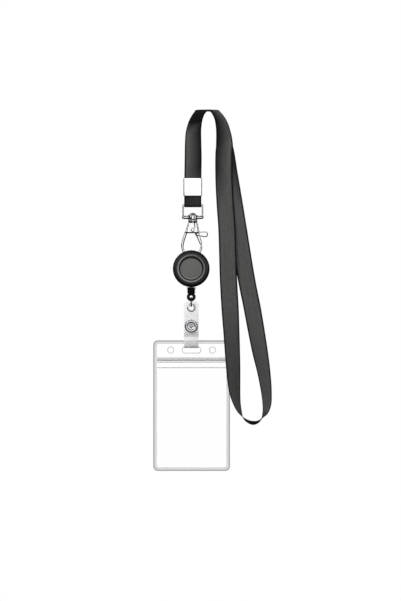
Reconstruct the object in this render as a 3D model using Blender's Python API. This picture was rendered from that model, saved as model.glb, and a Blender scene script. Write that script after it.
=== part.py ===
"""Lanyard badge holder: neck ribbon, swivel trigger hook, retracting badge reel, snap strap and zip pouch.

It hangs from the crown of its neck ribbon. The origin is the underside of the crown, +Z points up,
and the front faces -Y. Sizes below are in millimetres, and the solids are built in metres.
"""

import math

import bmesh
import bpy
import numpy as np
from mathutils import Matrix, Vector

mm = 0.001
gap = 0.3  # running gap between neighbouring solids

# Neck ribbon
ribbonWidth = 15.0
ribbonThickness = 0.55
layerPitch = 0.9  # between the middles of the two stacked runs
stationWidth = 15.0  # the width for which the ribbon's stations below are written

# Crimp and the hook's tail
hookX = -13.8
crimpTop = -58.8
crimpHeight = 15.5
crimpWall = 0.5
crimpLip = 0.4  # wall at the crimp's side edges
tailDrop = 10.1  # from the crimp's bottom edge to the bottom of the tail's fold

# Swivel frame
barRadius = 1.0
sideWire = 1.4
frameDepth = 2.4
bossBelowBar = 8.5
bossHeight = 4.5
bossRadius = 4.4
railHeight = 3.2
railDepth = 3.2

# Swivel post
headRadius = 2.75
headHeight = 1.5
postRadius = 1.4
postGrip = 2.4  # how far the post reaches into the hook's block
collarRadius = 4.15
collarHeight = 1.7

# Hook
blockHeight = 9.7
blockTopHalf = 4.15
blockLeftHalf = 6.9
blockRightHalf = 6.1
blockDepth = 5.2
rivetDrop = 6.7
rivetRadius = 1.0
rivetHeadRadius = 1.75
rivetHeadHeight = 0.6
slotDepth = 3.0
slotRoof = 2.2
armRadius = 1.2
bowRadius = 1.0
gateThickness = 2.2
gateHubRadius = 2.6

# Reel
reelX = -15.1
reelRadius = 16.05
reelThickness = 9.0
reelWall = 1.2
reelBelowBow = 10.3
flangeRadius = reelRadius - reelWall - 0.95
drumRadius = flangeRadius - 5.1
ringRadius = reelRadius - 4.45
labelRadius = ringRadius - 2.0
labelThickness = 0.5
axlePostRadius = 2.0

# Belt clip on the reel's back
clipWidth = 7.0
clipThickness = 0.6
clipFoldRadius = 1.5
clipRivetRadius = 1.0
clipSlack = 0.6  # play between the bow and the top of the clip's fold

# Cord end, string loop and snap strap
cordRadius = 0.4
stopperReach = 24.6  # reel centre to ring centre
stopperRingRadius = 3.7
stopperRingHole = 1.4
stopperRingThickness = 1.6
eyeletBelowRing = 9.4
eyeletRadius = 3.7
eyeletBore = 1.8
stringHalfDepth = 2.6
stringSlack = 0.4  # play of the string below the top of the eyelet's bore
vinylWidth = 12.7
vinylThickness = 0.6
vinylAboveEyelet = 5.3
vinylCorner = 2.8
snapBelowEyelet = 16.1
foldBelowEyelet = 35.2
foldRadius = 3.2
snapRadius = 5.7
legSpread = 1.9  # each leg of the strap stands this far from the middle at the snap

# Pouch
pouchX = -14.8
pouchWidth = 67.0
pouchHeight = 114.0
pouchCorner = 4.2
weldWidth = 3.1
headerHeight = 13.0
slotWidth = 16.2
slotHeight = 5.2
slotBelowTop = 5.9
punchRadius = 3.0
punchSpacing = 36.4
punchBelowTop = 8.55
headerHalf = 0.5
pocketHalf = 1.25
filmThickness = 0.35
zipBelowTop = 17.2
zipHeight = 4.4

# Heights that follow from the sizes above, from the crimp down.
barZ = crimpTop - crimpHeight - tailDrop + ribbonThickness + gap + barRadius
bossTop = barZ - bossBelowBar
bossBottom = bossTop - bossHeight
collarTop = bossBottom - gap
blockTop = collarTop - collarHeight
rivetZ = blockTop - rivetDrop

# The bow's middle line from the block's left side round to the nose, from the rivet: x, z, radius.
bowRoute = [
    (-5.8, -1.8, armRadius),
    (-7.7, -7.3, armRadius),
    (-9.1, -12.8, armRadius),
    (-8.9, -15.8, bowRadius),
    (-7.5, -20.2, bowRadius),
    (-5.5, -23.4, bowRadius),
    (-1.2, -23.8, bowRadius),
    (3.1, -23.4, bowRadius),
    (5.4, -20.4, bowRadius),
    (7.0, -17.2, bowRadius),
    (7.5, -14.4, bowRadius),
]
bowZ = rivetZ + min(z for _, z, _ in bowRoute)
foldZ = bowZ + bowRadius + clipSlack - clipFoldRadius
reelZ = bowZ - reelBelowBow
reelBack = -(clipFoldRadius + clipThickness + gap)
reelFront = reelBack - reelThickness
cordY = (reelBack + reelFront) / 2
stopperTop = reelZ - reelRadius - gap
ringZ = reelZ - stopperReach
eyeletZ = ringZ - eyeletBelowRing
snapZ = eyeletZ - snapBelowEyelet
foldBottom = eyeletZ - foldBelowEyelet
slotTop = foldBottom + vinylThickness + gap
pouchTop = slotTop + slotBelowTop
crossingLow = eyeletZ + eyeletBore - cordRadius - stringSlack

# Neck ribbon stations, each a straight line across the ribbon from edge A to edge B:
# A's x, B's x, middle z, A's rise over B, middle y, A's distance behind B.
# The doubled stretch goes from the crimp up the left side, over the crown and down the right side.
# A is its inner edge, which comes forward over the crown.
doubledStations = [
    (-6.3, -21.3, -66.4, 0, 0, 0),
    (-6.1, -21.1, -51.3, 0, 0, 0),
    (-6.05, -20.85, -41.1, 0, 0, -2.7),
    (-6.4, -20.55, -27.4, 0, 0, -5.0),
    (-6.6, -19.75, -17.7, 0, 0, -7.8),
    (-6.2, -18.4, -12.2, 0, 0, -10.0),
    (-5.4, -16.9, -7.9, 0, 0, -11.8),
    (-3.8, -14.3, -3.3, 0, 0, -13.9),
    (-2.1, -12.2, -0.7, 0, 0, -15.0),
    (-1.4, -11.4, 0.35, 0, 0, -15.0),
    (-0.5, -10.4, 0.75, 0, 0, -15.0),
    (0.3, 8.0, 0.75, 0, 0, -15.0),
    (1.2, 9.1, 0.35, 0, 0, -15.0),
    (1.9, 10.2, -0.7, 0, 0, -15.0),
    (3.5, 12.7, -3.1, 0, 0, -14.2),
    (5.35, 15.7, -7.45, 0, -0.1, -12.6),
    (6.3, 17.6, -11.8, 0, -0.2, -11.0),
    (6.85, 19.3, -17.7, 0, -0.5, -9.1),
    (6.85, 20.6, -23.5, 0, -0.9, -6.4),
    (6.6, 21.4, -29.4, 0, -1.4, -2.4),
]
# The single stretch goes on down the loop's left strand, round its bottom and up its right strand.
loopStations = [
    (6.0, 21.0, -37.3, 0, -2.6, 0),
    (5.95, 20.95, -59.4, 0, -5.2, 0),
    (6.9, 21.9, -81.1, 0, -8.0, 0),
    (8.4, 23.4, -103.7, 0, -10.9, 0),
    (9.7, 24.7, -148.1, 0, -15.7, 0),
    (11.0, 26.0, -172.4, 0, -17.9, -1.0),
    (12.6, 26.7, -193.5, 0, -19.5, -5.2),
    (14.65, 27.4, -221.1, 0, -20.4, -7.8),
    (16.2, 27.5, -237.3, 0, -20.4, -9.9),
    (17.9, 27.5, -246.3, 0, -20.3, -11.5),
    (20.7, 27.8, -254.4, 0, -20.2, -13.2),
    (24.4, 28.8, -261.7, 0.2, -20.0, -14.3),
    (29.6, 30.1, -267.8, 0.8, -20.0, -15.0),
    (34.2, 33.9, -271.4, 2.1, -20.0, -14.8),
    (38.15, 38.3, -272.9, 3.0, -20.0, -14.7),
    (42.0, 42.4, -272.0, 2.1, -20.0, -14.8),
    (45.6, 45.2, -269.3, 0.6, -20.0, -15.0),
    (50.4, 46.7, -263.3, 0, -20.0, -14.5),
    (53.5, 46.7, -256.0, 0, -19.9, -13.3),
    (54.1, 45.4, -245.5, 0, -19.7, -12.3),
    (53.2, 42.2, -229.2, 0, -19.2, -10.1),
    (51.4, 38.15, -213.0, 0, -18.6, -7.1),
    (48.6, 34.1, -193.5, 0, -17.5, -3.9),
    (45.2, 30.1, -172.4, 0, -16.0, -1.0),
    (40.5, 25.3, -148.1, 0, -13.8, 0),
    (33.4, 18.2, -103.7, 0, -9.7, 0),
    (28.7, 13.6, -73.9, 0, -6.2, 0),
    (25.1, 10.0, -52.1, 0, -3.5, 0),
    (22.9, 7.8, -37.3, 0, -1.75, 0),
]

palette = {
    "satin_black": ((0.045, 0.045, 0.044), 0.55, 0.0),
    "bright_plate": ((0.86, 0.86, 0.87), 0.18, 1.0),
    "cast_nickel": ((0.62, 0.62, 0.63), 0.25, 1.0),
    "black_shell": ((0.02, 0.02, 0.02), 0.3, 0.0),
    "grey_label": ((0.13, 0.13, 0.125), 0.4, 0.0),
    "white_spool": ((0.75, 0.75, 0.73), 0.5, 0.0),
    "spring_steel": ((0.4, 0.41, 0.42), 0.35, 1.0),
    "black_cord": ((0.015, 0.015, 0.015), 0.7, 0.0),
    "clear_vinyl": ((0.88, 0.89, 0.89), 0.12, 0.0),
}


def clearScene():
    for thing in list(bpy.data.objects):
        bpy.data.objects.remove(thing)


def makeMaterials():
    made = {}
    for name, (colour, roughness, metallic) in palette.items():
        material = bpy.data.materials.new(name)
        material.use_nodes = True
        shader = material.node_tree.nodes["Principled BSDF"]
        shader.inputs["Base Color"].default_value = (*colour, 1)
        shader.inputs["Roughness"].default_value = roughness
        shader.inputs["Metallic"].default_value = metallic
        if name == "clear_vinyl":
            shader.inputs["Transmission Weight"].default_value = 0.9
        made[name] = material
    return made


def makeBody(name, place, parent=None):
    """An empty on the joint's axis, which carries the pieces of one moving body."""
    empty = bpy.data.objects.new(name, None)
    bpy.context.scene.collection.objects.link(empty)
    empty["place"] = place
    if parent is None:
        empty.location = Vector(place) * mm
    else:
        empty.parent = parent
        empty.location = (Vector(place) - Vector(parent["place"])) * mm
    return empty


def place(bm, name, body, material=None, smooth=True):
    """Turns a mesh drawn in millimetres round the origin into an object carried by its body."""
    bmesh.ops.recalc_face_normals(bm, faces=bm.faces)
    home = Vector(body["place"])
    bmesh.ops.transform(bm, matrix=Matrix.Scale(mm, 4) @ Matrix.Translation(-home), verts=bm.verts)
    mesh = bpy.data.meshes.new(name)
    bm.to_mesh(mesh)
    bm.free()
    if smooth:
        mesh.shade_smooth()
        mesh.set_sharp_from_angle(angle=math.radians(35))
    piece = bpy.data.objects.new(name, mesh)
    bpy.context.scene.collection.objects.link(piece)
    piece.parent = body
    if material is not None:
        mesh.materials.append(material)
    return piece


def turned(profile, axis, centre, steps=48):
    """Turns (radius, height) points about an axis, given as "Y" or "Z", through a centre."""
    bm = bmesh.new()
    if axis == "Y":
        points = [Vector((r, h, 0)) for r, h in profile]
        direction = Vector((0, 1, 0))
    else:
        points = [Vector((r, 0, h)) for r, h in profile]
        direction = Vector((0, 0, 1))
    verts = [bm.verts.new(p) for p in points]
    closed = min(r for r, _ in profile) > 0
    pairs = list(zip(verts, verts[1:], strict=False))
    if closed:
        pairs.append((verts[-1], verts[0]))
    edges = [bm.edges.new(pair) for pair in pairs]
    bmesh.ops.spin(bm, geom=verts + edges, cent=(0, 0, 0), axis=direction, angle=2 * math.pi,
                   steps=steps, use_merge=True)
    bmesh.ops.remove_doubles(bm, verts=bm.verts, dist=0.001)
    bmesh.ops.translate(bm, vec=Vector(centre), verts=bm.verts)
    return bm


def prism(outline, low, high):
    """Extrudes an (x, z) outline along Y from low to high."""
    bm = bmesh.new()
    face = bm.faces.new([bm.verts.new((x, low, z)) for x, z in outline])
    grown = bmesh.ops.extrude_face_region(bm, geom=[face])
    moved = [g for g in grown["geom"] if isinstance(g, bmesh.types.BMVert)]
    bmesh.ops.translate(bm, vec=(0, high - low, 0), verts=moved)
    return bm


def sidePrism(outline, low, high):
    """Extrudes a (y, z) outline along X from low to high."""
    bm = prism(outline, low, high)
    swap = Matrix(((0, 1, 0, 0), (1, 0, 0, 0), (0, 0, 1, 0), (0, 0, 0, 1)))
    bmesh.ops.transform(bm, matrix=swap, verts=bm.verts)
    return bm


def box(low, high):
    (x0, y0, z0), (x1, y1, z1) = low, high
    return prism([(x0, z0), (x1, z0), (x1, z1), (x0, z1)], y0, y1)


def roundedBox(centreX, top, width, height, radius, steps=6):
    """The (x, z) outline of a rectangle with round corners, anticlockwise from its right side."""
    outline = []
    for cx, cz, start in (
        (width / 2 - radius, -radius, 0),
        (radius - width / 2, -radius, 90),
        (radius - width / 2, radius - height, 180),
        (width / 2 - radius, radius - height, 270),
    ):
        for k in range(steps + 1):
            angle = math.radians(start + 90 * k / steps)
            outline.append((centreX + cx + radius * math.cos(angle), top + cz + radius * math.sin(angle)))
    return outline


def taperedBar(startPoint, startRadius, endPoint, endRadius, steps=10):
    """The (x, z) outline of a bar with round ends of two radii."""
    (ax, az), (bx, bz) = startPoint, endPoint
    length = math.hypot(bx - ax, bz - az)
    heading = math.atan2(bz - az, bx - ax)
    lean = math.acos((startRadius - endRadius) / length)
    outline = []
    for k in range(steps + 1):
        angle = heading + lean + (2 * math.pi - 2 * lean) * k / steps
        outline.append((ax + startRadius * math.cos(angle), az + startRadius * math.sin(angle)))
    for k in range(steps + 1):
        angle = heading - lean + 2 * lean * k / steps
        outline.append((bx + endRadius * math.cos(angle), bz + endRadius * math.sin(angle)))
    return outline


def smoothLine(points, steps):
    """A centripetal Catmull-Rom curve through the points, with some steps from each to the next."""
    p = np.asarray(points, float)
    p = np.vstack([2 * p[0] - p[1], p, 2 * p[-1] - p[-2]])
    spans = np.maximum(np.linalg.norm(np.diff(p, axis=0), axis=1), 1e-6)
    knots = np.concatenate([[0], np.cumsum(spans**0.5)])
    rows = []
    for i in range(1, len(p) - 2):
        t0, t1, t2, t3 = knots[i - 1:i + 3]
        for t in np.linspace(t1, t2, steps, endpoint=False):
            a1 = ((t1 - t) * p[i - 1] + (t - t0) * p[i]) / (t1 - t0)
            a2 = ((t2 - t) * p[i] + (t - t1) * p[i + 1]) / (t2 - t1)
            a3 = ((t3 - t) * p[i + 1] + (t - t2) * p[i + 2]) / (t3 - t2)
            b1 = ((t2 - t) * a1 + (t - t0) * a2) / (t2 - t0)
            b2 = ((t3 - t) * a2 + (t - t1) * a3) / (t3 - t1)
            rows.append(((t2 - t) * b1 + (t - t1) * b2) / (t2 - t1))
    rows.append(p[-2])
    return np.array(rows)


def tube(route, radii, sides=10, cyclic=False):
    """A round tube along points in millimetres, as a mesh read from a bevelled curve."""
    data = bpy.data.curves.new("route", "CURVE")
    data.dimensions = "3D"
    data.bevel_depth = 1
    data.bevel_resolution = max(sides // 2 - 2, 0)
    data.use_fill_caps = not cyclic
    spline = data.splines.new("POLY")
    spline.points.add(len(route) - 1)
    spline.use_cyclic_u = cyclic
    for point, where, radius in zip(spline.points, route, radii, strict=True):
        point.co = (*where, 1)
        point.radius = radius
    thing = bpy.data.objects.new("route", data)
    bpy.context.scene.collection.objects.link(thing)
    bm = bmesh.new()
    bm.from_mesh(bpy.data.meshes.new_from_object(thing.evaluated_get(bpy.context.evaluated_depsgraph_get())))
    bpy.data.objects.remove(thing)
    bmesh.ops.remove_doubles(bm, verts=bm.verts, dist=0.0001)
    return bm


def ribbon(edgeA, edgeB, thickness, columns=1):
    """A closed band between two edge lines, thickened equally to both sides.

    Both faces are split along the same diagonals, so they stay apart where the band twists.
    """
    a, b = np.asarray(edgeA, float), np.asarray(edgeB, float)
    across = b - a

    def normals(edge):
        along = np.gradient(edge, axis=0)
        n = np.cross(along, across)
        return n / np.linalg.norm(n, axis=1, keepdims=True)

    share = np.linspace(0, 1, columns + 1)[None, :, None]
    middle = a[:, None] * (1 - share) + b[:, None] * share
    half = (normals(a)[:, None] * (1 - share) + normals(b)[:, None] * share) * thickness / 2
    bm = bmesh.new()
    front, back = (
        [[bm.verts.new(p) for p in row] for row in middle + side * half] for side in (1, -1)
    )
    for i in range(len(a) - 1):
        for j in range(columns):
            for face in (front, back):
                bm.faces.new([face[i][j], face[i][j + 1], face[i + 1][j + 1]])
                bm.faces.new([face[i][j], face[i + 1][j + 1], face[i + 1][j]])
        for j in (0, columns):
            bm.faces.new([front[i][j], front[i + 1][j], back[i + 1][j], back[i][j]])
    for i in (0, -1):
        for j in range(columns):
            bm.faces.new([front[i][j], front[i][j + 1], back[i][j + 1], back[i][j]])
    return bm


def combine(piece, bm, body, operation):
    """Joins another shape to a piece, or cuts it out, with a live Boolean modifier."""
    other = place(bm, piece.name + "_tool", body, smooth=False)
    other.hide_render = True
    other.display_type = "WIRE"
    change = piece.modifiers.new(operation.lower(), "BOOLEAN")
    change.operation = operation
    change.object = other
    change.solver = "EXACT"


def drill(piece, body, axis, centre, radius, low, high, steps=24):
    """Cuts a round hole along "Y" or "Z" between two places on that axis."""
    profile = [(0, high), (radius, high), (radius, low), (0, low)]
    at = (centre[0], 0, centre[1]) if axis == "Y" else (centre[0], centre[1], 0)
    combine(piece, turned(profile, axis, at, steps), body, "DIFFERENCE")


def edgesOf(stations):
    """Both edge lines of a list of ribbon stations, widened about their middle to the ribbon's width."""
    xa, xb, z, rise, y, behind = np.array(stations, float).T
    middle = np.stack([(xa + xb) / 2, y, z], axis=1)
    toA = np.stack([xa - xb, behind, rise], axis=1) / 2 * ribbonWidth / stationWidth
    return middle + toA, middle - toA


def shifted(edgeA, edgeB, distance):
    """The same band moved along its own normals."""
    across = edgeB - edgeA
    moved = []
    for edge in (edgeA, edgeB):
        n = np.cross(np.gradient(edge, axis=0), across)
        moved.append(edge + distance * n / np.linalg.norm(n, axis=1, keepdims=True))
    return moved


def neckEdges(steps):
    """The whole ribbon: the front run, the loop, then the back run the other way."""
    innerEdge, outerEdge = (smoothLine(edge, steps) for edge in edgesOf(doubledStations))
    frontA, frontB = shifted(innerEdge, outerEdge, layerPitch / 2)
    backA, backB = shifted(innerEdge, outerEdge, -layerPitch / 2)
    loopA, loopB = edgesOf(loopStations)
    joined = []
    for first, loop, last in ((frontA, loopA, backB), (frontB, loopB, backA)):
        tail = [first[-1 - steps], first[-1], *loop, last[-1], last[-1 - steps]]
        middle = smoothLine(tail, steps)[steps:-steps]
        joined.append(np.vstack([first[:-1], middle, last[::-1][1:]]))
    return joined


def makeNeckStrap(body, look):
    edgeA, edgeB = neckEdges(3)
    place(ribbon(edgeA, edgeB, ribbonThickness, 4), "neck_strap", body, look["satin_black"])


def makeCrimp(body, look):
    halfWidth = ribbonWidth / 2 + gap + crimpLip
    halfDepth = (layerPitch + ribbonThickness) / 2 + gap + crimpWall
    low, high = crimpTop - crimpHeight, crimpTop
    shell = box((hookX - halfWidth, -halfDepth, low), (hookX + halfWidth, halfDepth, high))
    piece = place(shell, "strap_crimp", body, look["bright_plate"], smooth=False)
    inner = box((hookX - halfWidth + crimpLip, -halfDepth + crimpWall, low - 1),
                (hookX + halfWidth - crimpLip, halfDepth - crimpWall, high + 1))
    combine(piece, inner, body, "DIFFERENCE")


def makeHookTail(body, look):
    """The folded tail: two legs in the crimp and a fold round the frame's bar."""
    legY = layerPitch / 2
    turn = barRadius + gap + ribbonThickness / 2
    top = crimpTop - crimpHeight / 2 - gap - 0.2
    route = [(-legY, top), (-legY, crimpTop - crimpHeight - 1.2), (-turn, barZ + 1.2)]
    route += [(-turn * math.cos(a), barZ - turn * math.sin(a)) for a in np.linspace(0, math.pi, 13)]
    route += [(turn, barZ + 1.2), (legY, crimpTop - crimpHeight - 1.2), (legY, top)]
    y, z = np.array(route).T
    half = ribbonWidth / 2
    edges = [np.stack([np.full(len(y), hookX + side * half), y, z], axis=1) for side in (-1, 1)]
    place(ribbon(*edges, ribbonThickness), "hook_tail", body, look["satin_black"])


def makeFrame(body, look):
    """Cast frame: round top bar, two sides, and a rail with the swivel's boss."""
    half = ribbonWidth / 2 + gap + sideWire
    railTop = bossTop - 0.7
    railBottom = railTop - railHeight
    side = frameDepth / 2
    piece = place(box((hookX - half, -side, railBottom + 0.6), (hookX - half + sideWire, side, barZ)),
                  "swivel_frame", body, look["cast_nickel"])
    otherSide = box((hookX + half - sideWire, -side, railBottom + 0.6), (hookX + half, side, barZ))
    combine(piece, otherSide, body, "UNION")
    bar = turned([(0, half), (barRadius, half), (barRadius, -half), (0, -half)], "Y", (0, 0, 0), 20)
    bmesh.ops.rotate(bar, matrix=Matrix.Rotation(math.pi / 2, 3, "Z"), verts=bar.verts)
    bmesh.ops.translate(bar, vec=(hookX, 0, barZ), verts=bar.verts)
    combine(piece, bar, body, "UNION")
    rail = prism([(hookX - half - 0.01, railTop), (hookX - half - 0.01, railBottom + 0.9),
                  (hookX - half + 0.9, railBottom), (hookX + half - 0.9, railBottom),
                  (hookX + half + 0.01, railBottom + 0.9), (hookX + half + 0.01, railTop)],
                 -railDepth / 2, railDepth / 2)
    combine(piece, rail, body, "UNION")
    boss = turned([(0, bossTop), (bossRadius - 0.5, bossTop), (bossRadius, bossTop - 0.5),
                   (bossRadius, bossBottom), (0, bossBottom)], "Z", (hookX, 0, 0), 32)
    combine(piece, boss, body, "UNION")
    drill(piece, body, "Z", (hookX, 0), postRadius + gap, bossBottom - 1, bossTop + 1)


def makeSwivelPost(body, look):
    under = bossTop + gap
    profile = [(0, under + headHeight), (headRadius * 0.55, under + headHeight - 0.15),
               (headRadius * 0.87, under + headHeight * 0.55), (headRadius, under), (postRadius, under),
               (postRadius, blockTop - postGrip), (0, blockTop - postGrip)]
    place(turned(profile, "Z", (hookX, 0, 0), 28), "swivel_post", body, look["cast_nickel"])


def makeHookBody(body, look):
    """Block with its collar and bow, and the slot that holds the gate."""
    blockBottom = blockTop - blockHeight
    depth = blockDepth / 2
    outline = [(hookX - blockTopHalf, blockTop), (hookX - blockLeftHalf, blockBottom),
               (hookX - 3.0, blockBottom - 0.5), (hookX + 3.0, blockBottom - 0.5),
               (hookX + blockRightHalf, blockBottom), (hookX + blockTopHalf, blockTop)]
    piece = place(prism(outline, -depth, depth), "hook_body", body, look["cast_nickel"])
    combine(piece, turned([(0, collarTop), (collarRadius, collarTop), (collarRadius, blockTop - 0.6),
                           (0, blockTop - 0.6)], "Z", (hookX, 0, 0), 32), body, "UNION")
    slot = slotDepth / 2
    slotCeiling = blockTop - slotRoof - postGrip + 0.6
    slotBox = box((hookX - 4.4, -slot, blockBottom - 2), (hookX + 12, slot, slotCeiling))
    combine(piece, slotBox, body, "DIFFERENCE")
    line = smoothLine([(hookX + x, 0, rivetZ + z) for x, z, _ in bowRoute], 3)
    along = np.linspace(0, len(bowRoute) - 1, len(line))
    radii = np.interp(along, range(len(bowRoute)), [r for _, _, r in bowRoute])
    combine(piece, tube(line, radii), body, "UNION")
    drill(piece, body, "Z", (hookX, 0), postRadius + gap, blockTop - postGrip - gap, collarTop + 1)
    drill(piece, body, "Y", (hookX, rivetZ), rivetRadius + gap, -depth - 1, depth + 1)


def makeGateRivet(body, look):
    depth = blockDepth / 2 + gap
    profile = [(0, -depth - rivetHeadHeight), (rivetHeadRadius * 0.7, -depth - rivetHeadHeight),
               (rivetHeadRadius, -depth), (rivetRadius, -depth), (rivetRadius, depth),
               (rivetHeadRadius, depth), (rivetHeadRadius * 0.7, depth + rivetHeadHeight),
               (0, depth + rivetHeadHeight)]
    place(turned(profile, "Y", (hookX, 0, rivetZ), 24), "gate_rivet", body, look["bright_plate"])


def makeGateSpring(body, look):
    """Torsion coil round the rivet, in the back half of the slot."""
    wire, coilRadius, turns = 0.16, 1.9, 2.5
    angles = np.linspace(0, turns * 2 * math.pi, int(turns * 14) + 1)
    low, high = 0.3 + wire, slotDepth / 2 - 0.2 - wire
    route = np.stack([hookX + coilRadius * np.cos(angles), np.linspace(low, high, len(angles)),
                      rivetZ + coilRadius * np.sin(angles)], axis=1)
    place(tube(route, [wire] * len(route), 6), "gate_spring", body, look["spring_steel"])


def makeGate(body, look):
    """Gate arm and thumb lever in one casting, with a thin hub between the block's cheeks."""
    half = gateThickness / 2
    at = Vector((hookX, rivetZ))

    def bar(start, r0, end, r1):
        return prism(taperedBar(at + Vector(start), r0, at + Vector(end), r1), -half, half)

    piece = place(bar((0, 0), gateHubRadius, (4.6, -4.8), 1.6), "hook_gate", body, look["cast_nickel"])
    combine(piece, bar((4.6, -4.8), 1.6, (7.2, -12.0), 1.1), body, "UNION")
    combine(piece, bar((3.6, -3.4), 1.7, (10.9, -3.9), 2.5), body, "UNION")
    drill(piece, body, "Y", (hookX, rivetZ), 3.2, 0, half + 1)
    drill(piece, body, "Y", (hookX, rivetZ), rivetRadius + gap, -half - 1, half + 1)


def makeFrontCover(body, look):
    """Front shell: recess for the label, raised ring and domed rim."""
    parting = cordY - gap / 2
    roof = reelFront + 2.0
    recess = labelRadius + gap
    r = reelRadius
    profile = [(0, reelFront + 1.0), (recess, reelFront + 1.0), (recess, reelFront + 0.2),
               (recess + 0.3, reelFront), (ringRadius, reelFront), (ringRadius + 0.6, reelFront + 0.2),
               (r * 0.885, reelFront + 0.9), (r * 0.965, reelFront + 1.9), (r, reelFront + 3.1),
               (r, parting), (r - reelWall, parting), (r - reelWall, roof + 0.8), (flangeRadius, roof),
               (0, roof)]
    piece = place(turned(profile, "Y", (reelX, 0, reelZ), 64), "reel_front_cover", body, look["black_shell"])
    drill(piece, body, "Z", (reelX, cordY), cordRadius + 0.5, reelZ - r - 1, reelZ - r + 3)


def makeLabelDisc(body, look):
    back = reelFront + 1.0 - gap
    front = back - labelThickness
    profile = [(0, front), (labelRadius, front), (labelRadius, back), (0, back)]
    place(turned(profile, "Y", (reelX, 0, reelZ), 64), "label_disc", body, look["grey_label"])


def makeBackCover(body, look):
    """Back shell with the hollow post that the spool turns on."""
    parting = cordY + gap / 2
    floor = reelBack - reelWall
    r = reelRadius
    bore = clipRivetRadius + gap
    postEnd = reelFront + 2.0 + gap
    profile = [(bore, reelBack), (r - 1.0, reelBack), (r, reelBack - 1.0), (r, parting),
               (r - reelWall, parting), (r - reelWall, floor - 0.4), (r - reelWall - 0.5, floor),
               (axlePostRadius, floor),
               (axlePostRadius, postEnd), (bore, postEnd)]
    piece = place(turned(profile, "Y", (reelX, 0, reelZ), 64), "reel_back_cover", body, look["black_shell"])
    drill(piece, body, "Z", (reelX, cordY), cordRadius + 0.5, reelZ - r - 1, reelZ - r + 3)


def spoolHeights():
    """Front face, front groove wall, back groove wall and back face of the spool."""
    front = reelFront + 2.0 + gap
    back = reelBack - reelWall - gap
    return front, front + 0.7, back - 0.8, back


def makeSpool(body, look):
    front, frontWall, backWall, back = spoolHeights()
    bore = axlePostRadius + gap
    profile = [(bore, front), (flangeRadius, front), (flangeRadius, frontWall), (drumRadius, frontWall),
               (drumRadius, backWall), (flangeRadius, backWall), (flangeRadius, back),
               (drumRadius - 0.8, back), (drumRadius - 0.8, frontWall), (bore, frontWall)]
    place(turned(profile, "Y", (reelX, 0, reelZ), 48), "cord_spool", body, look["white_spool"])


def makeWoundCord(body, look):
    _, frontWall, backWall, _ = spoolHeights()
    inner, outer = drumRadius + gap, flangeRadius - 1.2
    low, high = frontWall + gap, backWall - gap
    profile = [(inner, low), (outer, low), (outer, high), (inner, high)]
    place(turned(profile, "Y", (reelX, 0, reelZ), 48), "wound_cord", body, look["black_cord"])


def makePowerSpring(body, look):
    """Flat spiral strip between the post and the spool's inner wall."""
    strip, turns = 0.25, 5
    _, frontWall, _, back = spoolHeights()
    angles = np.linspace(0, turns * 2 * math.pi, turns * 24 + 1)
    radius = np.linspace(axlePostRadius + 0.5, drumRadius - 0.8 - 0.5, len(angles))
    x, z = reelX + radius * np.cos(angles), reelZ + radius * np.sin(angles)
    edges = [np.stack([x, np.full(len(x), y), z], axis=1) for y in (frontWall + gap, back - gap)]
    place(ribbon(*edges, strip), "power_spring", body, look["spring_steel"])


def makeBeltClip(body, look):
    """Folded strip: riveted leg, fold over the hook's bow, and the sprung outer leg."""
    mid = clipFoldRadius + clipThickness / 2
    route = [(-mid, reelZ - 5.0), (-mid, reelZ), (-mid, foldZ - 2.5)]
    route += [(-mid * math.cos(a), foldZ + mid * math.sin(a)) for a in np.linspace(0, math.pi, 13)]
    route += [(2.3, foldZ - 2.6), (4.4, foldZ - 6.0), (4.9, foldZ - 9.5), (4.9, foldZ - 17.5),
              (3.4, foldZ - 22.0), (3.0, foldZ - 24.5), (4.2, foldZ - 26.5)]
    y, z = np.array(route).T
    edges = [np.stack([np.full(len(y), reelX + side * clipWidth / 2), y, z], axis=1) for side in (-1, 1)]
    piece = place(ribbon(*edges, clipThickness), "belt_clip", body, look["bright_plate"])
    drill(piece, body, "Y", (reelX, reelZ), clipRivetRadius + gap, -mid - 1, -mid + 1)


def makeClipRivet(body, look):
    under = -clipFoldRadius + gap
    profile = [(0, under + 0.7), (1.5, under + 0.7), (2.2, under), (clipRivetRadius, under),
               (clipRivetRadius, reelFront + 3.0), (0, reelFront + 3.0)]
    place(turned(profile, "Y", (reelX, 0, reelZ), 24), "clip_rivet", body, look["bright_plate"])


def makePullCord(body, look):
    bottom = stopperTop + gap
    line = np.linspace((reelX, cordY, bottom), (reelX, cordY, bottom + 2.7), 4)
    place(tube(line, [cordRadius] * len(line), 8), "pull_cord", body, look["black_cord"])


def makeStopper(body, look):
    """Ribbed neck that closes the reel's outlet, with a flat ring below it."""
    top = stopperTop
    ribs = [(0.0, 3.6), (1.0, 3.6), (1.3, 2.7), (1.9, 3.7), (2.6, 2.7), (3.3, 3.8), (4.0, 2.9), (5.2, 2.6)]
    profile = [(0, top)] + [(r, top - z) for z, r in ribs] + [(0, top - 5.2)]
    piece = place(turned(profile, "Z", (reelX, cordY, 0), 28), "cord_stopper", body, look["black_shell"])
    half = stopperRingThickness / 2
    disc = turned([(0, half), (stopperRingRadius, half), (stopperRingRadius, -half), (0, -half)], "Y",
                  (reelX, cordY, ringZ), 32)
    combine(piece, disc, body, "UNION")
    drill(piece, body, "Y", (reelX, ringZ), stopperRingHole, cordY - 2, cordY + 2)


def makeStringLoop(body, look):
    """Closed loop in the side plane, through the stopper's ring and the strap's eyelet."""
    high = ringZ - stopperRingHole + gap + cordRadius
    corner = 1.5
    outline = roundedBox(cordY, high, 2 * stringHalfDepth, high - crossingLow, corner, 5)
    route = [(reelX, y, z) for y, z in outline]
    place(tube(route, [cordRadius] * len(route), 8, cyclic=True), "string_loop", body, look["black_cord"])


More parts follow.
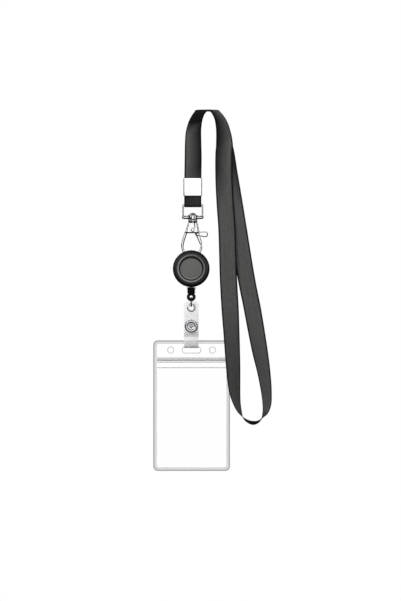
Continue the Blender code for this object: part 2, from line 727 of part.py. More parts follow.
def vinylRoute():
    """Side view of the snap strap from the top of its long back leg to the top of its short front leg."""
    zc = foldBottom + vinylThickness / 2 + foldRadius
    top = eyeletZ + vinylAboveEyelet
    route = [(0, top), (0, top - 0.5), (0, top - 1.3), (0, top - vinylCorner), (0, eyeletZ - 6.0),
             (legSpread, snapZ + 6.2), (legSpread, snapZ - 6.2), (foldRadius, zc + 2.4)]
    route += [(foldRadius * math.cos(a), zc - foldRadius * math.sin(a)) for a in np.linspace(0, math.pi, 15)]
    return route + [(-foldRadius, zc + 2.4), (-legSpread, snapZ - 6.2), (-legSpread, snapZ + 7.2)]


def makeBadgeStrap(body, look):
    y, z = np.array(vinylRoute()).T
    fromTop = eyeletZ + vinylAboveEyelet - z
    reach = np.clip(vinylCorner - fromTop, 0, None) * (y == 0)
    half = vinylWidth / 2 - vinylCorner + np.sqrt(np.clip(vinylCorner**2 - reach**2, 0, None))
    edges = [np.stack([reelX + side * half, cordY + y, z], axis=1) for side in (-1, 1)]
    piece = place(ribbon(*edges, vinylThickness), "badge_strap", body, look["clear_vinyl"])
    drill(piece, body, "Y", (reelX, eyeletZ), eyeletBore + 0.3 + gap, cordY - 1, cordY + 1)
    for side in (-1, 1):
        middle = cordY + side * legSpread
        drill(piece, body, "Y", (reelX, snapZ), 1.5 + gap, middle - 1, middle + 1)


def makeEyelet(body, look):
    inner = vinylThickness / 2 + gap
    outer = inner + 0.4
    bore, barrel = eyeletBore, eyeletBore + 0.3
    profile = [(bore, -outer), (eyeletRadius, -outer), (eyeletRadius, -inner), (barrel, -inner),
               (barrel, inner), (eyeletRadius, inner), (eyeletRadius, outer), (bore, outer)]
    place(turned(profile, "Y", (reelX, cordY, eyeletZ), 32), "strap_eyelet", body, look["bright_plate"])


def makeSnap(body, look):
    """Press snap: cap and socket on the front leg, stud and post on the back leg."""
    leg = legSpread + vinylThickness / 2 + gap
    centre = (reelX, cordY, snapZ)
    r = snapRadius
    cap = [(0, -leg - 0.5), (r * 0.6, -leg - 0.5), (r * 0.66, -leg - 1.3), (r * 0.93, -leg - 1.2),
           (r, -leg - 0.5), (r, -leg), (1.5, -leg), (1.5, -leg + 1.3), (0, -leg + 1.3)]
    place(turned(cap, "Y", centre, 40), "snap_cap", body, look["bright_plate"])
    inside = -(legSpread - vinylThickness / 2 - gap)
    socket = [(1.5 + gap, inside), (r * 0.8, inside), (r * 0.8, inside + 1.0), (2.5, inside + 1.0),
              (2.5, inside + 0.3), (1.5 + gap, inside + 0.3)]
    place(turned(socket, "Y", centre, 32), "snap_socket", body, look["cast_nickel"])
    stud = [(0, -inside - 0.9), (1.5 + gap, -inside - 0.9), (1.5 + gap, -inside), (r * 0.8, -inside),
            (r * 0.8, -inside - 0.8), (2.2, -inside - 0.8), (2.1, -inside - 1.7), (0, -inside - 1.7)]
    place(turned(stud, "Y", centre, 32), "snap_stud", body, look["cast_nickel"])
    post = [(0, leg + 0.7), (r * 0.7, leg + 0.7), (r * 0.8, leg), (1.5, leg), (1.5, leg - 1.4),
            (0, leg - 1.4)]
    place(turned(post, "Y", centre, 32), "snap_post", body, look["bright_plate"])


def makePouchSheet(name, side, body, look):
    """One sheet: flat weld rim and header, pocket wall standing out, slot and punched holes."""
    near, weldFace = cordY + side * gap / 2, cordY + side * headerHalf
    outer, inner = cordY + side * pocketHalf, cordY + side * (pocketHalf - filmThickness)
    whole = roundedBox(pouchX, pouchTop, pouchWidth, pouchHeight, pouchCorner)
    piece = place(prism(whole, *sorted((near, weldFace))), name, body, look["clear_vinyl"], smooth=False)
    wall = filmThickness
    pocketTop = pouchTop - headerHeight
    pocketWidth = pouchWidth - 2 * weldWidth
    pocketHeight = pouchHeight - headerHeight - weldWidth
    low, high = sorted(((near + weldFace) / 2, outer))
    raised = roundedBox(pouchX, pocketTop + wall, pocketWidth + 2 * wall, pocketHeight + 2 * wall, 2.2, 4)
    combine(piece, prism(raised, low, high), body, "UNION")
    low, high = sorted((cordY - side, inner))
    hollow = roundedBox(pouchX, pocketTop, pocketWidth, pocketHeight, 2.0, 4)
    combine(piece, prism(hollow, low, high), body, "DIFFERENCE")
    slot = roundedBox(pouchX, slotTop, slotWidth, slotHeight, slotHeight / 2 - 0.05, 6)
    combine(piece, prism(slot, cordY - 2, cordY + 2), body, "DIFFERENCE")
    for hand in (-1, 1):
        drill(piece, body, "Y", (pouchX + hand * punchSpacing / 2, pouchTop - punchBelowTop), punchRadius,
              cordY - 2, cordY + 2)


def makeZip(body, look):
    """The channel on the front sheet and the rib on the back sheet, inside the pocket's mouth."""
    half = pouchWidth / 2 - weldWidth - gap
    z = pouchTop - zipBelowTop
    h = zipHeight / 2
    face = pocketHalf - filmThickness - gap
    low, high = pouchX - half, pouchX + half
    channel = [(-face, -h), (-face, h), (0.2, h), (0.2, 0.75), (-0.25, 0.75), (-0.25, -0.75),
               (0.2, -0.75), (0.2, -h)]
    rib = [(face, -h), (face, h), (face - 0.12, h), (face - 0.12, 0.45), (0.05, 0.45), (0.05, -0.45),
           (face - 0.12, -0.45), (face - 0.12, -h)]
    for name, outline in (("zip_channel", channel), ("zip_rib", rib)):
        track = sidePrism([(cordY + y, z + dz) for y, dz in outline], low, high)
        place(track, name, body, look["clear_vinyl"], smooth=False)


def build():
    clearScene()
    look = makeMaterials()
    neck = makeBody("neck", (0, 0, 0))
    frame = makeBody("frame_tilt", (hookX, 0, barZ), neck)
    hook = makeBody("hook_swivel", (hookX, 0, blockTop), frame)
    gate = makeBody("gate_open", (hookX, 0, rivetZ), hook)
    reel = makeBody("reel_swing", (reelX, 0, bowZ), hook)
    drum = makeBody("drum_spin", (reelX, cordY, reelZ), reel)
    cordEnd = makeBody("cord_pull", (reelX, cordY, ringZ), reel)
    string = makeBody("string_sway", (reelX, cordY, ringZ), cordEnd)
    strap = makeBody("strap_tip", (reelX, cordY, crossingLow), string)
    pouch = makeBody("pouch_swing", (pouchX, cordY, slotTop), strap)
    makers = {
        neck: (makeNeckStrap, makeCrimp, makeHookTail),
        frame: (makeFrame,),
        hook: (makeSwivelPost, makeHookBody, makeGateRivet, makeGateSpring),
        gate: (makeGate,),
        reel: (makeFrontCover, makeLabelDisc, makeBackCover, makePowerSpring, makeBeltClip, makeClipRivet),
        drum: (makeSpool, makeWoundCord),
        cordEnd: (makePullCord, makeStopper),
        string: (makeStringLoop,),
        strap: (makeBadgeStrap, makeEyelet, makeSnap),
        pouch: (makeZip,),
    }
    for body, parts in makers.items():
        for make in parts:
            make(body, look)
    makePouchSheet("pouch_front_sheet", -1, pouch, look)
    makePouchSheet("pouch_back_sheet", 1, pouch, look)


build()
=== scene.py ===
import math

import bmesh
import bpy
import numpy as np
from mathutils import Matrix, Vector


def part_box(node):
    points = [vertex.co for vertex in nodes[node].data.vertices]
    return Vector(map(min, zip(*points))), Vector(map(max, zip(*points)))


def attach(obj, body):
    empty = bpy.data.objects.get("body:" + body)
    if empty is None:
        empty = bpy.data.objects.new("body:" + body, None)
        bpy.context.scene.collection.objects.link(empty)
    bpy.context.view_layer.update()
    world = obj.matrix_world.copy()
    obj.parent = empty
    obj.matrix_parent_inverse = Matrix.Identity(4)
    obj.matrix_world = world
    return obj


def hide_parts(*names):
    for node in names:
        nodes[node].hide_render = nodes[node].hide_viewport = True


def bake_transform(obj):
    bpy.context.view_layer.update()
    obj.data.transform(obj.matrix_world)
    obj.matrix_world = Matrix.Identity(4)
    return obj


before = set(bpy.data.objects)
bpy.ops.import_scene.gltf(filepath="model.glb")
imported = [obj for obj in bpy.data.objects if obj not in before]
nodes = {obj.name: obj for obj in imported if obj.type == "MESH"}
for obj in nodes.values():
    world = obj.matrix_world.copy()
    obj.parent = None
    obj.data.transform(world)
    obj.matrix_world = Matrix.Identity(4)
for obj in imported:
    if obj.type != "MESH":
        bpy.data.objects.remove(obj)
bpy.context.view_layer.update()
mm = 0.001


# Tools that the pieces share. A node's box comes in mm, as its low and high corners.
def boxMm(node):
    low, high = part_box(node)
    return np.array(low) / mm, np.array(high) / mm


# The middle of a node's box is the mean of its corners.
def middle(node):
    low, high = boxMm(node)
    return (low + high) / 2


# Points that fall together are welded, and every face is turned outward.
def solidTidy(obj, weld=True):
    solid = bmesh.new()
    solid.from_mesh(obj.data)
    if weld:
        bmesh.ops.remove_doubles(solid, verts=solid.verts, dist=1e-6)
    bmesh.ops.recalc_face_normals(solid, faces=solid.faces)
    solid.to_mesh(obj.data)
    solid.free()
    return obj


# A piece is shaded smooth except over edges sharper than the angle, and gets its material and body.
def finishMesh(obj, material, body, sharpAngle=40, merge=False):
    if merge:
        solidTidy(obj)
    obj.data.shade_smooth()
    obj.data.set_sharp_from_angle(angle=math.radians(sharpAngle))
    obj.data.materials.clear()
    obj.data.materials.append(material)
    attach(obj, body)
    return obj


# A mesh object from points in mm and faces of point numbers.
def newObject(name, points, faces):
    mesh = bpy.data.meshes.new(name)
    mesh.from_pydata((np.asarray(points, float).reshape(-1, 3) * mm).tolist(), [], faces)
    mesh.validate()
    obj = bpy.data.objects.new(name, mesh)
    bpy.context.scene.collection.objects.link(obj)
    return obj


# A grid of points (rows, columns, 3) becomes quads between neighbours, and a wrapped direction joins its
# end to its start.
def gridFaces(rows, columns, wrapRows=False, wrapColumns=False, offset=0):
    i = np.arange(rows if wrapRows else rows - 1)[:, None]
    j = np.arange(columns if wrapColumns else columns - 1)[None, :]
    a = i * columns + j
    b = i * columns + (j + 1) % columns
    c = ((i + 1) % rows) * columns + (j + 1) % columns
    d = ((i + 1) % rows) * columns + j
    return (np.stack([a, b, c, d], axis=-1).reshape(-1, 4) + offset).tolist()


# The same grid as an object; capped ends are one face over the first row and one over the last.
def gridObject(name, points, wrapRows=False, wrapColumns=False, capEnds=False):
    rows, columns = points.shape[:2]
    faces = gridFaces(rows, columns, wrapRows, wrapColumns)
    if capEnds:
        faces.append(list(range(columns))[::-1])
        faces.append(list(range((rows - 1) * columns, rows * columns)))
    return newObject(name, points, faces)


# Corner rounding: each corner of a polyline is replaced by an arc-like quadratic curve that starts
# and ends at its radius from the corner, or at 0.45 of a shorter side.
def softened(points, radius, steps=5, closed=False):
    p = np.asarray(points, float)
    if closed:
        before, after = np.roll(p, 1, axis=0), np.roll(p, -1, axis=0)
        core = p
    else:
        before, after, core = p[:-2], p[2:], p[1:-1]
    toBefore, toAfter = before - core, after - core
    lenBefore = np.linalg.norm(toBefore, axis=1, keepdims=True)
    lenAfter = np.linalg.norm(toAfter, axis=1, keepdims=True)
    reach = np.minimum(radius, 0.45 * np.minimum(lenBefore, lenAfter))
    start, end = core + toBefore / lenBefore * reach, core + toAfter / lenAfter * reach
    t = np.linspace(0, 1, steps)[None, :, None]
    arcs = (1 - t) ** 2 * start[:, None] + 2 * t * (1 - t) * core[:, None] + t**2 * end[:, None]
    arcs = arcs.reshape(-1, p.shape[1])
    return arcs if closed else np.vstack([p[:1], arcs, p[-1:]])


# Turning: profile points (radius, height) are carried round an axis through a centre.
def turnedObject(name, profile, centre, axis="Y", steps=96, closed=False):
    r, h = np.asarray(profile, float).T
    a = np.linspace(0, 2 * math.pi, steps, endpoint=False)[:, None]
    if axis == "Y":
        points = np.stack([r * np.cos(a), np.broadcast_to(h, (steps, len(h))), r * np.sin(a)], axis=-1)
    else:
        points = np.stack([r * np.cos(a), r * np.sin(a), np.broadcast_to(h, (steps, len(h)))], axis=-1)
    return gridObject(name, points + np.asarray(centre, float), wrapRows=True, wrapColumns=closed)


# A centripetal Catmull-Rom curve through all points at once, with the same number of steps between each two.
def smoothCurve(points, steps):
    p = np.asarray(points, float)
    p = np.vstack([2 * p[0] - p[1], p, 2 * p[-1] - p[-2]])
    k = np.concatenate([[0], np.cumsum(np.maximum(np.linalg.norm(np.diff(p, axis=0), axis=1), 1e-6) ** 0.5)])
    p0, p1, p2, p3 = (p[i:len(p) - 3 + i][:, None] for i in range(4))
    t0, t1, t2, t3 = (k[i:len(k) - 3 + i][:, None, None] for i in range(4))
    t = t1 + (t2 - t1) * np.linspace(0, 1, steps, endpoint=False)[None, :, None]
    a1 = ((t1 - t) * p0 + (t - t0) * p1) / (t1 - t0)
    a2 = ((t2 - t) * p1 + (t - t1) * p2) / (t2 - t1)
    a3 = ((t3 - t) * p2 + (t - t2) * p3) / (t3 - t2)
    b1 = ((t2 - t) * a1 + (t - t0) * a2) / (t2 - t0)
    b2 = ((t3 - t) * a2 + (t - t1) * a3) / (t3 - t1)
    return np.vstack([(((t2 - t) * b1 + (t - t1) * b2) / (t2 - t1)).reshape(-1, p.shape[1]), p[-2]])


# A vector over its own length.
def unit(v):
    return v / np.maximum(np.linalg.norm(v, axis=-1, keepdims=True), 1e-12)


# How far along a path each of its points lies: the running sum of the steps between them.
def runAlong(path):
    return np.concatenate([[0], np.cumsum(np.linalg.norm(np.diff(path, axis=0), axis=1))])


# A closed line's sides are cut evenly into steps no shorter than given, and a line that goes with it is cut
# at the same shares.
def cutEvenly(line, step, *partners):
    count = np.maximum((np.linalg.norm(np.roll(line, -1, axis=0) - line, axis=1) / step).astype(int), 1)
    side = np.repeat(np.arange(len(line)), count)
    share = np.concatenate([np.arange(n) / n for n in count])[:, None]
    cut = [other[side] + (np.roll(other, -1, axis=0) - other)[side] * share for other in (line, *partners)]
    return cut if partners else cut[0]


# A side view (y, z) drawn in the plane of one x, and a front view (x, z) drawn in the plane of one y.
def atX(x, line):
    return np.stack([np.full(len(line), x), line[:, 0], line[:, 1]], axis=1)


def atY(y, line):
    return np.stack([line[:, 0], np.full(len(line), y), line[:, 1]], axis=1)


# Sweeping: a section (sideways, outward) is carried along a path; side is the fixed direction that
# the section's first axis keeps, and its second axis is square to the path and to side.
def sweptPoints(path, section, side, scale=None, cyclic=False):
    path = np.asarray(path, float)
    if cyclic:
        along = unit(np.roll(path, -1, axis=0) - np.roll(path, 1, axis=0))
    else:
        along = unit(np.gradient(path, axis=0))
    side = unit(np.asarray(side, float))
    outward = unit(np.cross(along, side))
    section = np.asarray(section, float)
    if section.ndim == 2:
        section = np.broadcast_to(section, (len(path), *section.shape))
    if scale is not None:
        section = section * np.asarray(scale, float)[:, None, None]
    return path[:, None] + section[..., :1] * side + section[..., 1:] * outward[:, None]


# A superellipse: each half width times the cosine or sine raised to 2 over the power, with its sign kept.
def roundSection(width, height, power=2.0, steps=20):
    a = np.linspace(0, 2 * math.pi, steps, endpoint=False)
    c, s = np.cos(a), np.sin(a)
    return np.stack([width / 2 * np.sign(c) * np.abs(c) ** (2 / power),
                     height / 2 * np.sign(s) * np.abs(s) ** (2 / power)], axis=1)


# Several closed solids become one object.
def joined(name, parts):
    bpy.ops.object.select_all(action="DESELECT")
    for part in parts:
        part.select_set(True)
    bpy.context.view_layer.objects.active = parts[0]
    bpy.ops.object.join()
    parts[0].name = name
    parts[0].data.name = name
    return parts[0]


# The cutters are taken away from the object one after another, and the result replaces its mesh.
def cutWith(obj, cutters):
    for cutter in cutters:
        change = obj.modifiers.new("cut", "BOOLEAN")
        change.operation = "DIFFERENCE"
        change.object = cutter
        change.solver = "EXACT"
    mesh = bpy.data.meshes.new_from_object(obj.evaluated_get(bpy.context.evaluated_depsgraph_get()))
    obj.modifiers.clear()
    obj.data = mesh
    mesh.name = obj.name
    for cutter in cutters:
        bpy.data.objects.remove(cutter)
    return obj


# A plain cylinder along an axis, from low to high.
def pin(name, centre, radius, low, high, axis="Y", steps=48):
    profile = [(0, low), (radius, low), (radius, high), (0, high)]
    return solidTidy(turnedObject(name, profile, centre, axis, steps))


# A plain box between two corners.
def boxObject(name, low, high):
    ends = list(zip(low, high))
    corners = np.array([(x, y, z) for x in ends[0] for y in ends[1] for z in ends[2]])
    faces = [(0, 1, 3, 2), (4, 6, 7, 5), (0, 4, 5, 1), (2, 3, 7, 6), (0, 2, 6, 4), (1, 5, 7, 3)]
    return solidTidy(newObject(name, corners, faces))


# One UV pair for each point, handed to every face corner that uses the point.
def uvFromArrays(obj, values):
    layer = obj.data.uv_layers.new(name="weaveUV")
    corner = np.zeros(len(obj.data.loops), np.int32)
    obj.data.loops.foreach_get("vertex_index", corner)
    layer.data.foreach_set("uv", values[corner].astype(np.float32).ravel())


# A short way to add a material's nodes and join them by socket name.
class Nodes:
    def __init__(self, name):
        self.material = bpy.data.materials.new(name)
        self.material.use_nodes = True
        self.tree = self.material.node_tree
        self.shader = self.tree.nodes["Principled BSDF"]

    def add(self, kind, inputs=None, **settings):
        node = self.tree.nodes.new(kind)
        for key, value in settings.items():
            setattr(node, key, value)
        for key, value in (inputs or {}).items():
            if isinstance(value, bpy.types.NodeSocket):
                self.tree.links.new(value, node.inputs[key])
            else:
                node.inputs[key].default_value = value
        return node

    def set(self, **values):
        for key, value in values.items():
            name = key.replace("_", " ")
            if isinstance(value, bpy.types.NodeSocket):
                self.tree.links.new(value, self.shader.inputs[name])
            else:
                self.shader.inputs[name].default_value = value
        return self

    def ramp(self, source, stops):
        node = self.add("ShaderNodeValToRGB", {"Fac": source})
        elements = node.color_ramp.elements
        while len(elements) < len(stops):
            elements.new(0.5)
        for element, (at, colour) in zip(elements, stops):
            element.position = at
            element.color = (*colour, 1) if len(colour) == 3 else colour
        return node.outputs["Color"]

    def noise(self, scale, detail=3.0, vector=None, roughness=0.5):
        inputs = {"Scale": scale, "Detail": detail, "Roughness": roughness}
        inputs["Vector"] = vector or self.objectSpace()
        return self.add("ShaderNodeTexNoise", inputs).outputs["Fac"]

    def objectSpace(self):
        return self.add("ShaderNodeTexCoord").outputs["Object"]

    def weaveSpace(self):
        return self.add("ShaderNodeUVMap", uv_map="weaveUV").outputs["UV"]

    def split(self, vector):
        return self.add("ShaderNodeSeparateXYZ", {"Vector": vector}).outputs

    # Inputs go by number here, because a maths node's inputs share one name.
    def maths(self, operation, a, b=0.0):
        return self.add("ShaderNodeMath", {0: a, 1: b}, operation=operation).outputs[0]

    def vector(self, operation, a, b=None):
        inputs = {0: a} if b is None else {0: a, 1: b}
        node = self.add("ShaderNodeVectorMath", inputs, operation=operation)
        return node.outputs["Value" if operation in ("DOT_PRODUCT", "LENGTH") else "Vector"]

    def range(self, value, low, high, toLow, toHigh):
        inputs = {"Value": value, "From Min": low, "From Max": high, "To Min": toLow, "To Max": toHigh}
        return self.add("ShaderNodeMapRange", inputs).outputs["Result"]

    # From 0 at low to 1 at high, and from 1 at low to 0 at high.
    def rise(self, value, low, high):
        return self.range(value, low, high, 0.0, 1.0)

    def fall(self, value, low, high):
        return self.range(value, low, high, 1.0, 0.0)

    # The first colour where the share is 0, the second where it is 1.
    def mix(self, share, first, second):
        isSocket = [isinstance(colour, bpy.types.NodeSocket) for colour in (first, second)]
        a, b = (colour if ready else (*colour, 1) for colour, ready in zip((first, second), isSocket))
        node = self.add("ShaderNodeMix", {"Factor": share, "A": a, "B": b}, data_type="RGBA")
        return node.outputs["Result"]

    def bump(self, height, strength, distance, normal=None):
        inputs = {"Height": height, "Strength": strength, "Distance": distance}
        if normal is not None:
            inputs["Normal"] = normal
        return self.add("ShaderNodeBump", inputs).outputs["Normal"]


# Across the ribbon in mm, and heights and sides in metres: where the selvedge sets in, and where painted
# shade falls on edge A's half near the crown, on the crown's left shoulder and in the loop's fold.
satin = {
    "name": "satinBlack",
    "threadsPerMm": 3.4,
    "face": (0.052, 0.052, 0.051),
    "shine": (0.088, 0.088, 0.086),
    "selvedge": (0.003, 0.003, 0.003),
    "selvedgeAcross": (5.7, 6.7),
    "shade": 0.88,
    "shadeAcross": (-6.0, 4.0),
    "shadeHeight": (-0.090, -0.050),
    "shoulder": 1.0,
    "shoulderHeight": (-0.022, -0.010),
    "shoulderSide": (-0.004, -0.001),
    "foldHeight": (-0.266, -0.260),
    "roughness": 0.55,
    "sheen": 0.04,
}
# The tail's copy of the satin is darker all over: painted shade, for the tail in shadow below the crimp.
shadedTailSatin = {**satin, "name": "shadedTailSatin", "face": (0.016, 0.016, 0.0158), "shine": (0.026, 0.026, 0.0255)}


# The warp floats run lengthwise: a sine across the ribbon, stepped by a slow sine along it. The weft is a
# sine along the ribbon, and the weave is their weighted sum.
def satinMaterial(satin):
    n = Nodes(satin["name"])
    uv = n.weaveSpace()
    across, along = n.split(uv)["X"], n.split(uv)["Y"]
    threads = satin["threadsPerMm"] * 2 * math.pi
    step = n.maths("MULTIPLY", n.maths("SINE", n.maths("MULTIPLY", along, threads * 0.55)), 0.9)
    warp = n.maths("SINE", n.maths("ADD", n.maths("MULTIPLY", across, threads), step))
    lean = n.maths("MULTIPLY", warp, 0.7)
    weft = n.maths("SINE", n.maths("ADD", n.maths("MULTIPLY", along, threads * 0.8), lean))
    weave = n.maths("ADD", n.maths("MULTIPLY", warp, 0.6), n.maths("MULTIPLY", weft, 0.4))
    streakSpace = n.add("ShaderNodeMapping", {"Vector": uv, "Scale": (1.4, 0.02, 1.0)}).outputs["Vector"]
    streaks = n.noise(1.0, 4.0, streakSpace, 0.6)
    slubs = n.noise(0.25, 3.0, uv)
    tone = n.maths("ADD", n.maths("MULTIPLY", streaks, 0.75), n.maths("MULTIPLY", slubs, 0.25))
    face = n.mix(n.rise(tone, 0.3, 0.7), satin["face"], satin["shine"])
    # The selvedge and the painted shades are each a ramp or a product of ramps, and the darkest of them
    # counts.
    place = n.split(n.objectSpace())
    selvedge = n.rise(n.maths("ABSOLUTE", across), *satin["selvedgeAcross"])
    shaded = n.maths("MULTIPLY", n.fall(across, *satin["shadeAcross"]), satin["shade"])
    shaded = n.maths("MULTIPLY", shaded, n.rise(place["Z"], *satin["shadeHeight"]))
    shoulder = n.maths("MULTIPLY", n.rise(place["Z"], *satin["shoulderHeight"]),
                       n.fall(place["X"], *satin["shoulderSide"]))
    paintedFoldShade = n.maths("MAXIMUM", shoulder, n.fall(place["Z"], *satin["foldHeight"]))
    paintedFoldShade = n.maths("MULTIPLY", paintedFoldShade, satin["shoulder"])
    dark = n.maths("MAXIMUM", selvedge, n.maths("MAXIMUM", shaded, paintedFoldShade))
    rough = n.maths("ADD", n.maths("MULTIPLY", streaks, 0.16), satin["roughness"] - 0.08)
    wave = n.bump(slubs, 0.25, 0.0006, n.bump(weave, 0.35, 0.00004))
    n.set(Base_Color=n.mix(dark, face, satin["selvedge"]), Roughness=rough, Normal=wave)
    n.set(Sheen_Weight=satin["sheen"], Sheen_Roughness=0.4, Sheen_Tint=(0.75, 0.75, 0.75, 1))
    n.set(Specular_IOR_Level=0.12)
    return n.material


plate = {"name": "brightPlate", "colour": (0.95, 0.95, 0.96), "roughness": 0.12, "scratch": 0.04}
snapPlate = {"name": "snapPlate", "colour": (0.74, 0.74, 0.76), "roughness": 0.09, "scratch": 0.03}


# Brushed plate: noise drawn out along two axes moves the roughness, and a slow cloud dulls the colour.
def plateMaterial(plate):
    n = Nodes(plate["name"])
    space = n.objectSpace()
    brushed = n.add("ShaderNodeMapping", {"Vector": space, "Scale": (220, 220, 5200)}).outputs["Vector"]
    lines = n.noise(1.0, 3.0, brushed)
    cloud = n.noise(160.0, 3.0, space)
    colour = n.ramp(cloud, [(0.3, plate["colour"]), (0.75, tuple(c * 0.94 for c in plate["colour"]))])
    smooth, worn = plate["roughness"] - plate["scratch"], plate["roughness"] + plate["scratch"]
    rough = n.range(lines, 0.25, 0.8, smooth, worn)
    n.set(Base_Color=colour, Roughness=rough, Metallic=1.0, Normal=n.bump(lines, 0.03, 0.00001))
    return n.material


casting = {"colour": (0.80, 0.80, 0.81), "dark": (0.70, 0.70, 0.72), "roughness": 0.10}

# Painted shade and dark reflection in lines along the castings, from end to end in mm off the rivet, and half
# a line's width: the seam beside the rivet, the inner edges of the arm and the gate, and the frame's two
# inner corners.
paintedShadeLines = {
    "colour": (0.02, 0.02, 0.021),
    "fade": 0.25,
    "lines": [(1.45, 6.3, 1.85, 1.9, 0.3), (-5.0, -3.4, -8.1, -13.0, 0.4), (2.9, -3.4, 6.4, -12.6, 0.4),
              (-8.0, 12.5, -7.2, 12.0, 0.5), (8.0, 12.2, 7.2, 11.8, 0.5)],
}


# Distance in the front view from a line between two points: the nearest point on it is found by projection.
def farFromLine(n, space, start, end):
    a, b = (Vector((x * mm, 0, z * mm)) for x, z in (start, end))
    flat = n.vector("MULTIPLY", space, (1, 0, 1))
    off = n.vector("SUBTRACT", flat, a)
    share = n.vector("DOT_PRODUCT", off, (b - a) / (b - a).length_squared)
    share = n.maths("MINIMUM", n.maths("MAXIMUM", share, 0.0), 1.0)
    along = n.add("ShaderNodeVectorMath", {"Scale": share}, operation="SCALE")
    along.inputs[0].default_value = b - a
    return n.vector("LENGTH", n.vector("SUBTRACT", off, along.outputs["Vector"]))


# Cast nickel: a slow cloud between two greys, fine pits in the bump, and the painted shade lines above.
def castMaterial():
    n = Nodes("castNickel")
    space = n.objectSpace()
    cloud = n.noise(420.0, 4.0, space)
    pits = n.noise(2400.0, 2.0, space)
    colour = n.ramp(cloud, [(0.3, casting["colour"]), (0.72, casting["dark"])])
    rivet = middle("gate_rivet")
    for x0, z0, x1, z1, half in paintedShadeLines["lines"]:
        far = farFromLine(n, space, (rivet[0] + x0, rivet[2] + z0), (rivet[0] + x1, rivet[2] + z1))
        shadeShare = n.fall(far, half * mm, (half + paintedShadeLines["fade"]) * mm)
        colour = n.mix(shadeShare, colour, paintedShadeLines["colour"])
    rough = n.range(cloud, 0.3, 0.75, casting["roughness"] - 0.03, casting["roughness"] + 0.06)
    soft = n.bump(cloud, 0.06, 0.00005)
    n.set(Base_Color=colour, Roughness=rough, Metallic=1.0, Normal=n.bump(pits, 0.05, 0.00002, soft))
    return n.material


# The lip carries a painted highlight in the ring colour, faintest near a point shifted up and right.
shell = {
    "colour": (0.006, 0.006, 0.006),
    "lipHighlightColour": (0.22, 0.22, 0.225),
    "lipRadius": 11.45,
    "highlightShift": 2.0,
    "roughness": 0.25,
    "grain": 0.10,
}


# Distance in the front view from a point given in mm: the root of the two squares, in metres.
def farFrom(n, space, x, z):
    dx = n.maths("SUBTRACT", n.split(space)["X"], x * mm)
    dz = n.maths("SUBTRACT", n.split(space)["Z"], z * mm)
    return n.maths("SQRT", n.maths("ADD", n.maths("MULTIPLY", dx, dx), n.maths("MULTIPLY", dz, dz)))


# Moulded black plastic with a fine grain. A painted highlight on the lip: its share falls off with the
# distance from the lip's own radius, and it is strongest at the lower left, farthest from a point moved
# toward the upper right.
def shellMaterial(name, ring=None):
    n = Nodes(name)
    space = n.objectSpace()
    grain = n.noise(2600.0, 2.0, space)
    wear = n.noise(90.0, 4.0, space)
    colour = n.ramp(wear, [(0.35, shell["colour"]), (0.8, tuple(2 * c for c in shell["colour"]))])
    rough = n.range(wear, 0.3, 0.75, shell["roughness"] - 0.05, shell["roughness"] + 0.10)
    if ring:
        centreX, centreZ, radius = ring
        off = n.maths("ABSOLUTE", n.maths("SUBTRACT", farFrom(n, space, centreX, centreZ), radius * mm))
        far = farFrom(n, space, centreX + shell["highlightShift"], centreZ + shell["highlightShift"])
        worn = n.range(far, (radius - 3) * mm, (radius + 3) * mm, 0.45, 1.0)
        lipHighlight = n.maths("MULTIPLY", n.fall(off, 0.4 * mm, 1.0 * mm), worn)
        colour = n.mix(lipHighlight, colour, shell["lipHighlightColour"])
        rough = n.maths("ADD", rough, n.maths("MULTIPLY", lipHighlight, 0.12))
    n.set(Base_Color=colour, Roughness=rough, Normal=n.bump(grain, shell["grain"], 0.00003))
    n.set(Specular_IOR_Level=0.28, Coat_Weight=0.05, Coat_Roughness=0.15)
    return n.material


rubber = {"dark": (0.003, 0.003, 0.003), "light": (0.008, 0.008, 0.008), "roughness": 0.4}


# Soft black moulding: fine noise between two near blacks, and the same noise in the bump.
def rubberMaterial():
    n = Nodes("blackRubber")
    fine = n.noise(1400.0, 2.0)
    n.set(Base_Color=n.ramp(fine, [(0.3, rubber["dark"]), (0.8, rubber["light"])]))
    n.set(Roughness=rubber["roughness"], Normal=n.bump(fine, 0.1, 0.00002), Specular_IOR_Level=0.2)
    return n.material


discMiddle = [float(v) for v in middle("label_disc")]
label = {
    "colour": (0.098, 0.098, 0.092),
    "lipShadow": (0.012, 0.012, 0.012),
    "edgeHighlight": (0.26, 0.26, 0.25),
    "roughness": 0.42,
    "shift": 0.9,
    "reach": 9.5,
}


# Painted shadow and painted highlight: the label is darker in a crescent under its upper edge, where the
# lip's shadow falls, and lighter along its lower edge. Each is the part beyond a circle about a point moved
# down or up from the disc's centre.
def labelMaterial():
    n = Nodes("greyLabel")
    space = n.objectSpace()
    fine = n.noise(1800.0, 3.0, space)
    cloud = n.noise(70.0, 2.0, space)
    colour = n.ramp(cloud, [(0.3, label["colour"]), (0.8, tuple(c * 1.25 for c in label["colour"]))])
    for key, toward in (("lipShadow", -1), ("edgeHighlight", 1)):
        far = farFrom(n, space, discMiddle[0], discMiddle[2] + toward * label["shift"])
        colour = n.mix(n.rise(far, label["reach"] * mm, (label["reach"] + 0.3) * mm), colour, label[key])
    rough = n.range(fine, 0.3, 0.7, label["roughness"] - 0.04, label["roughness"] + 0.08)
    n.set(Base_Color=colour, Roughness=rough, Normal=n.bump(fine, 0.1, 0.00002), Specular_IOR_Level=0.5)
    return n.material


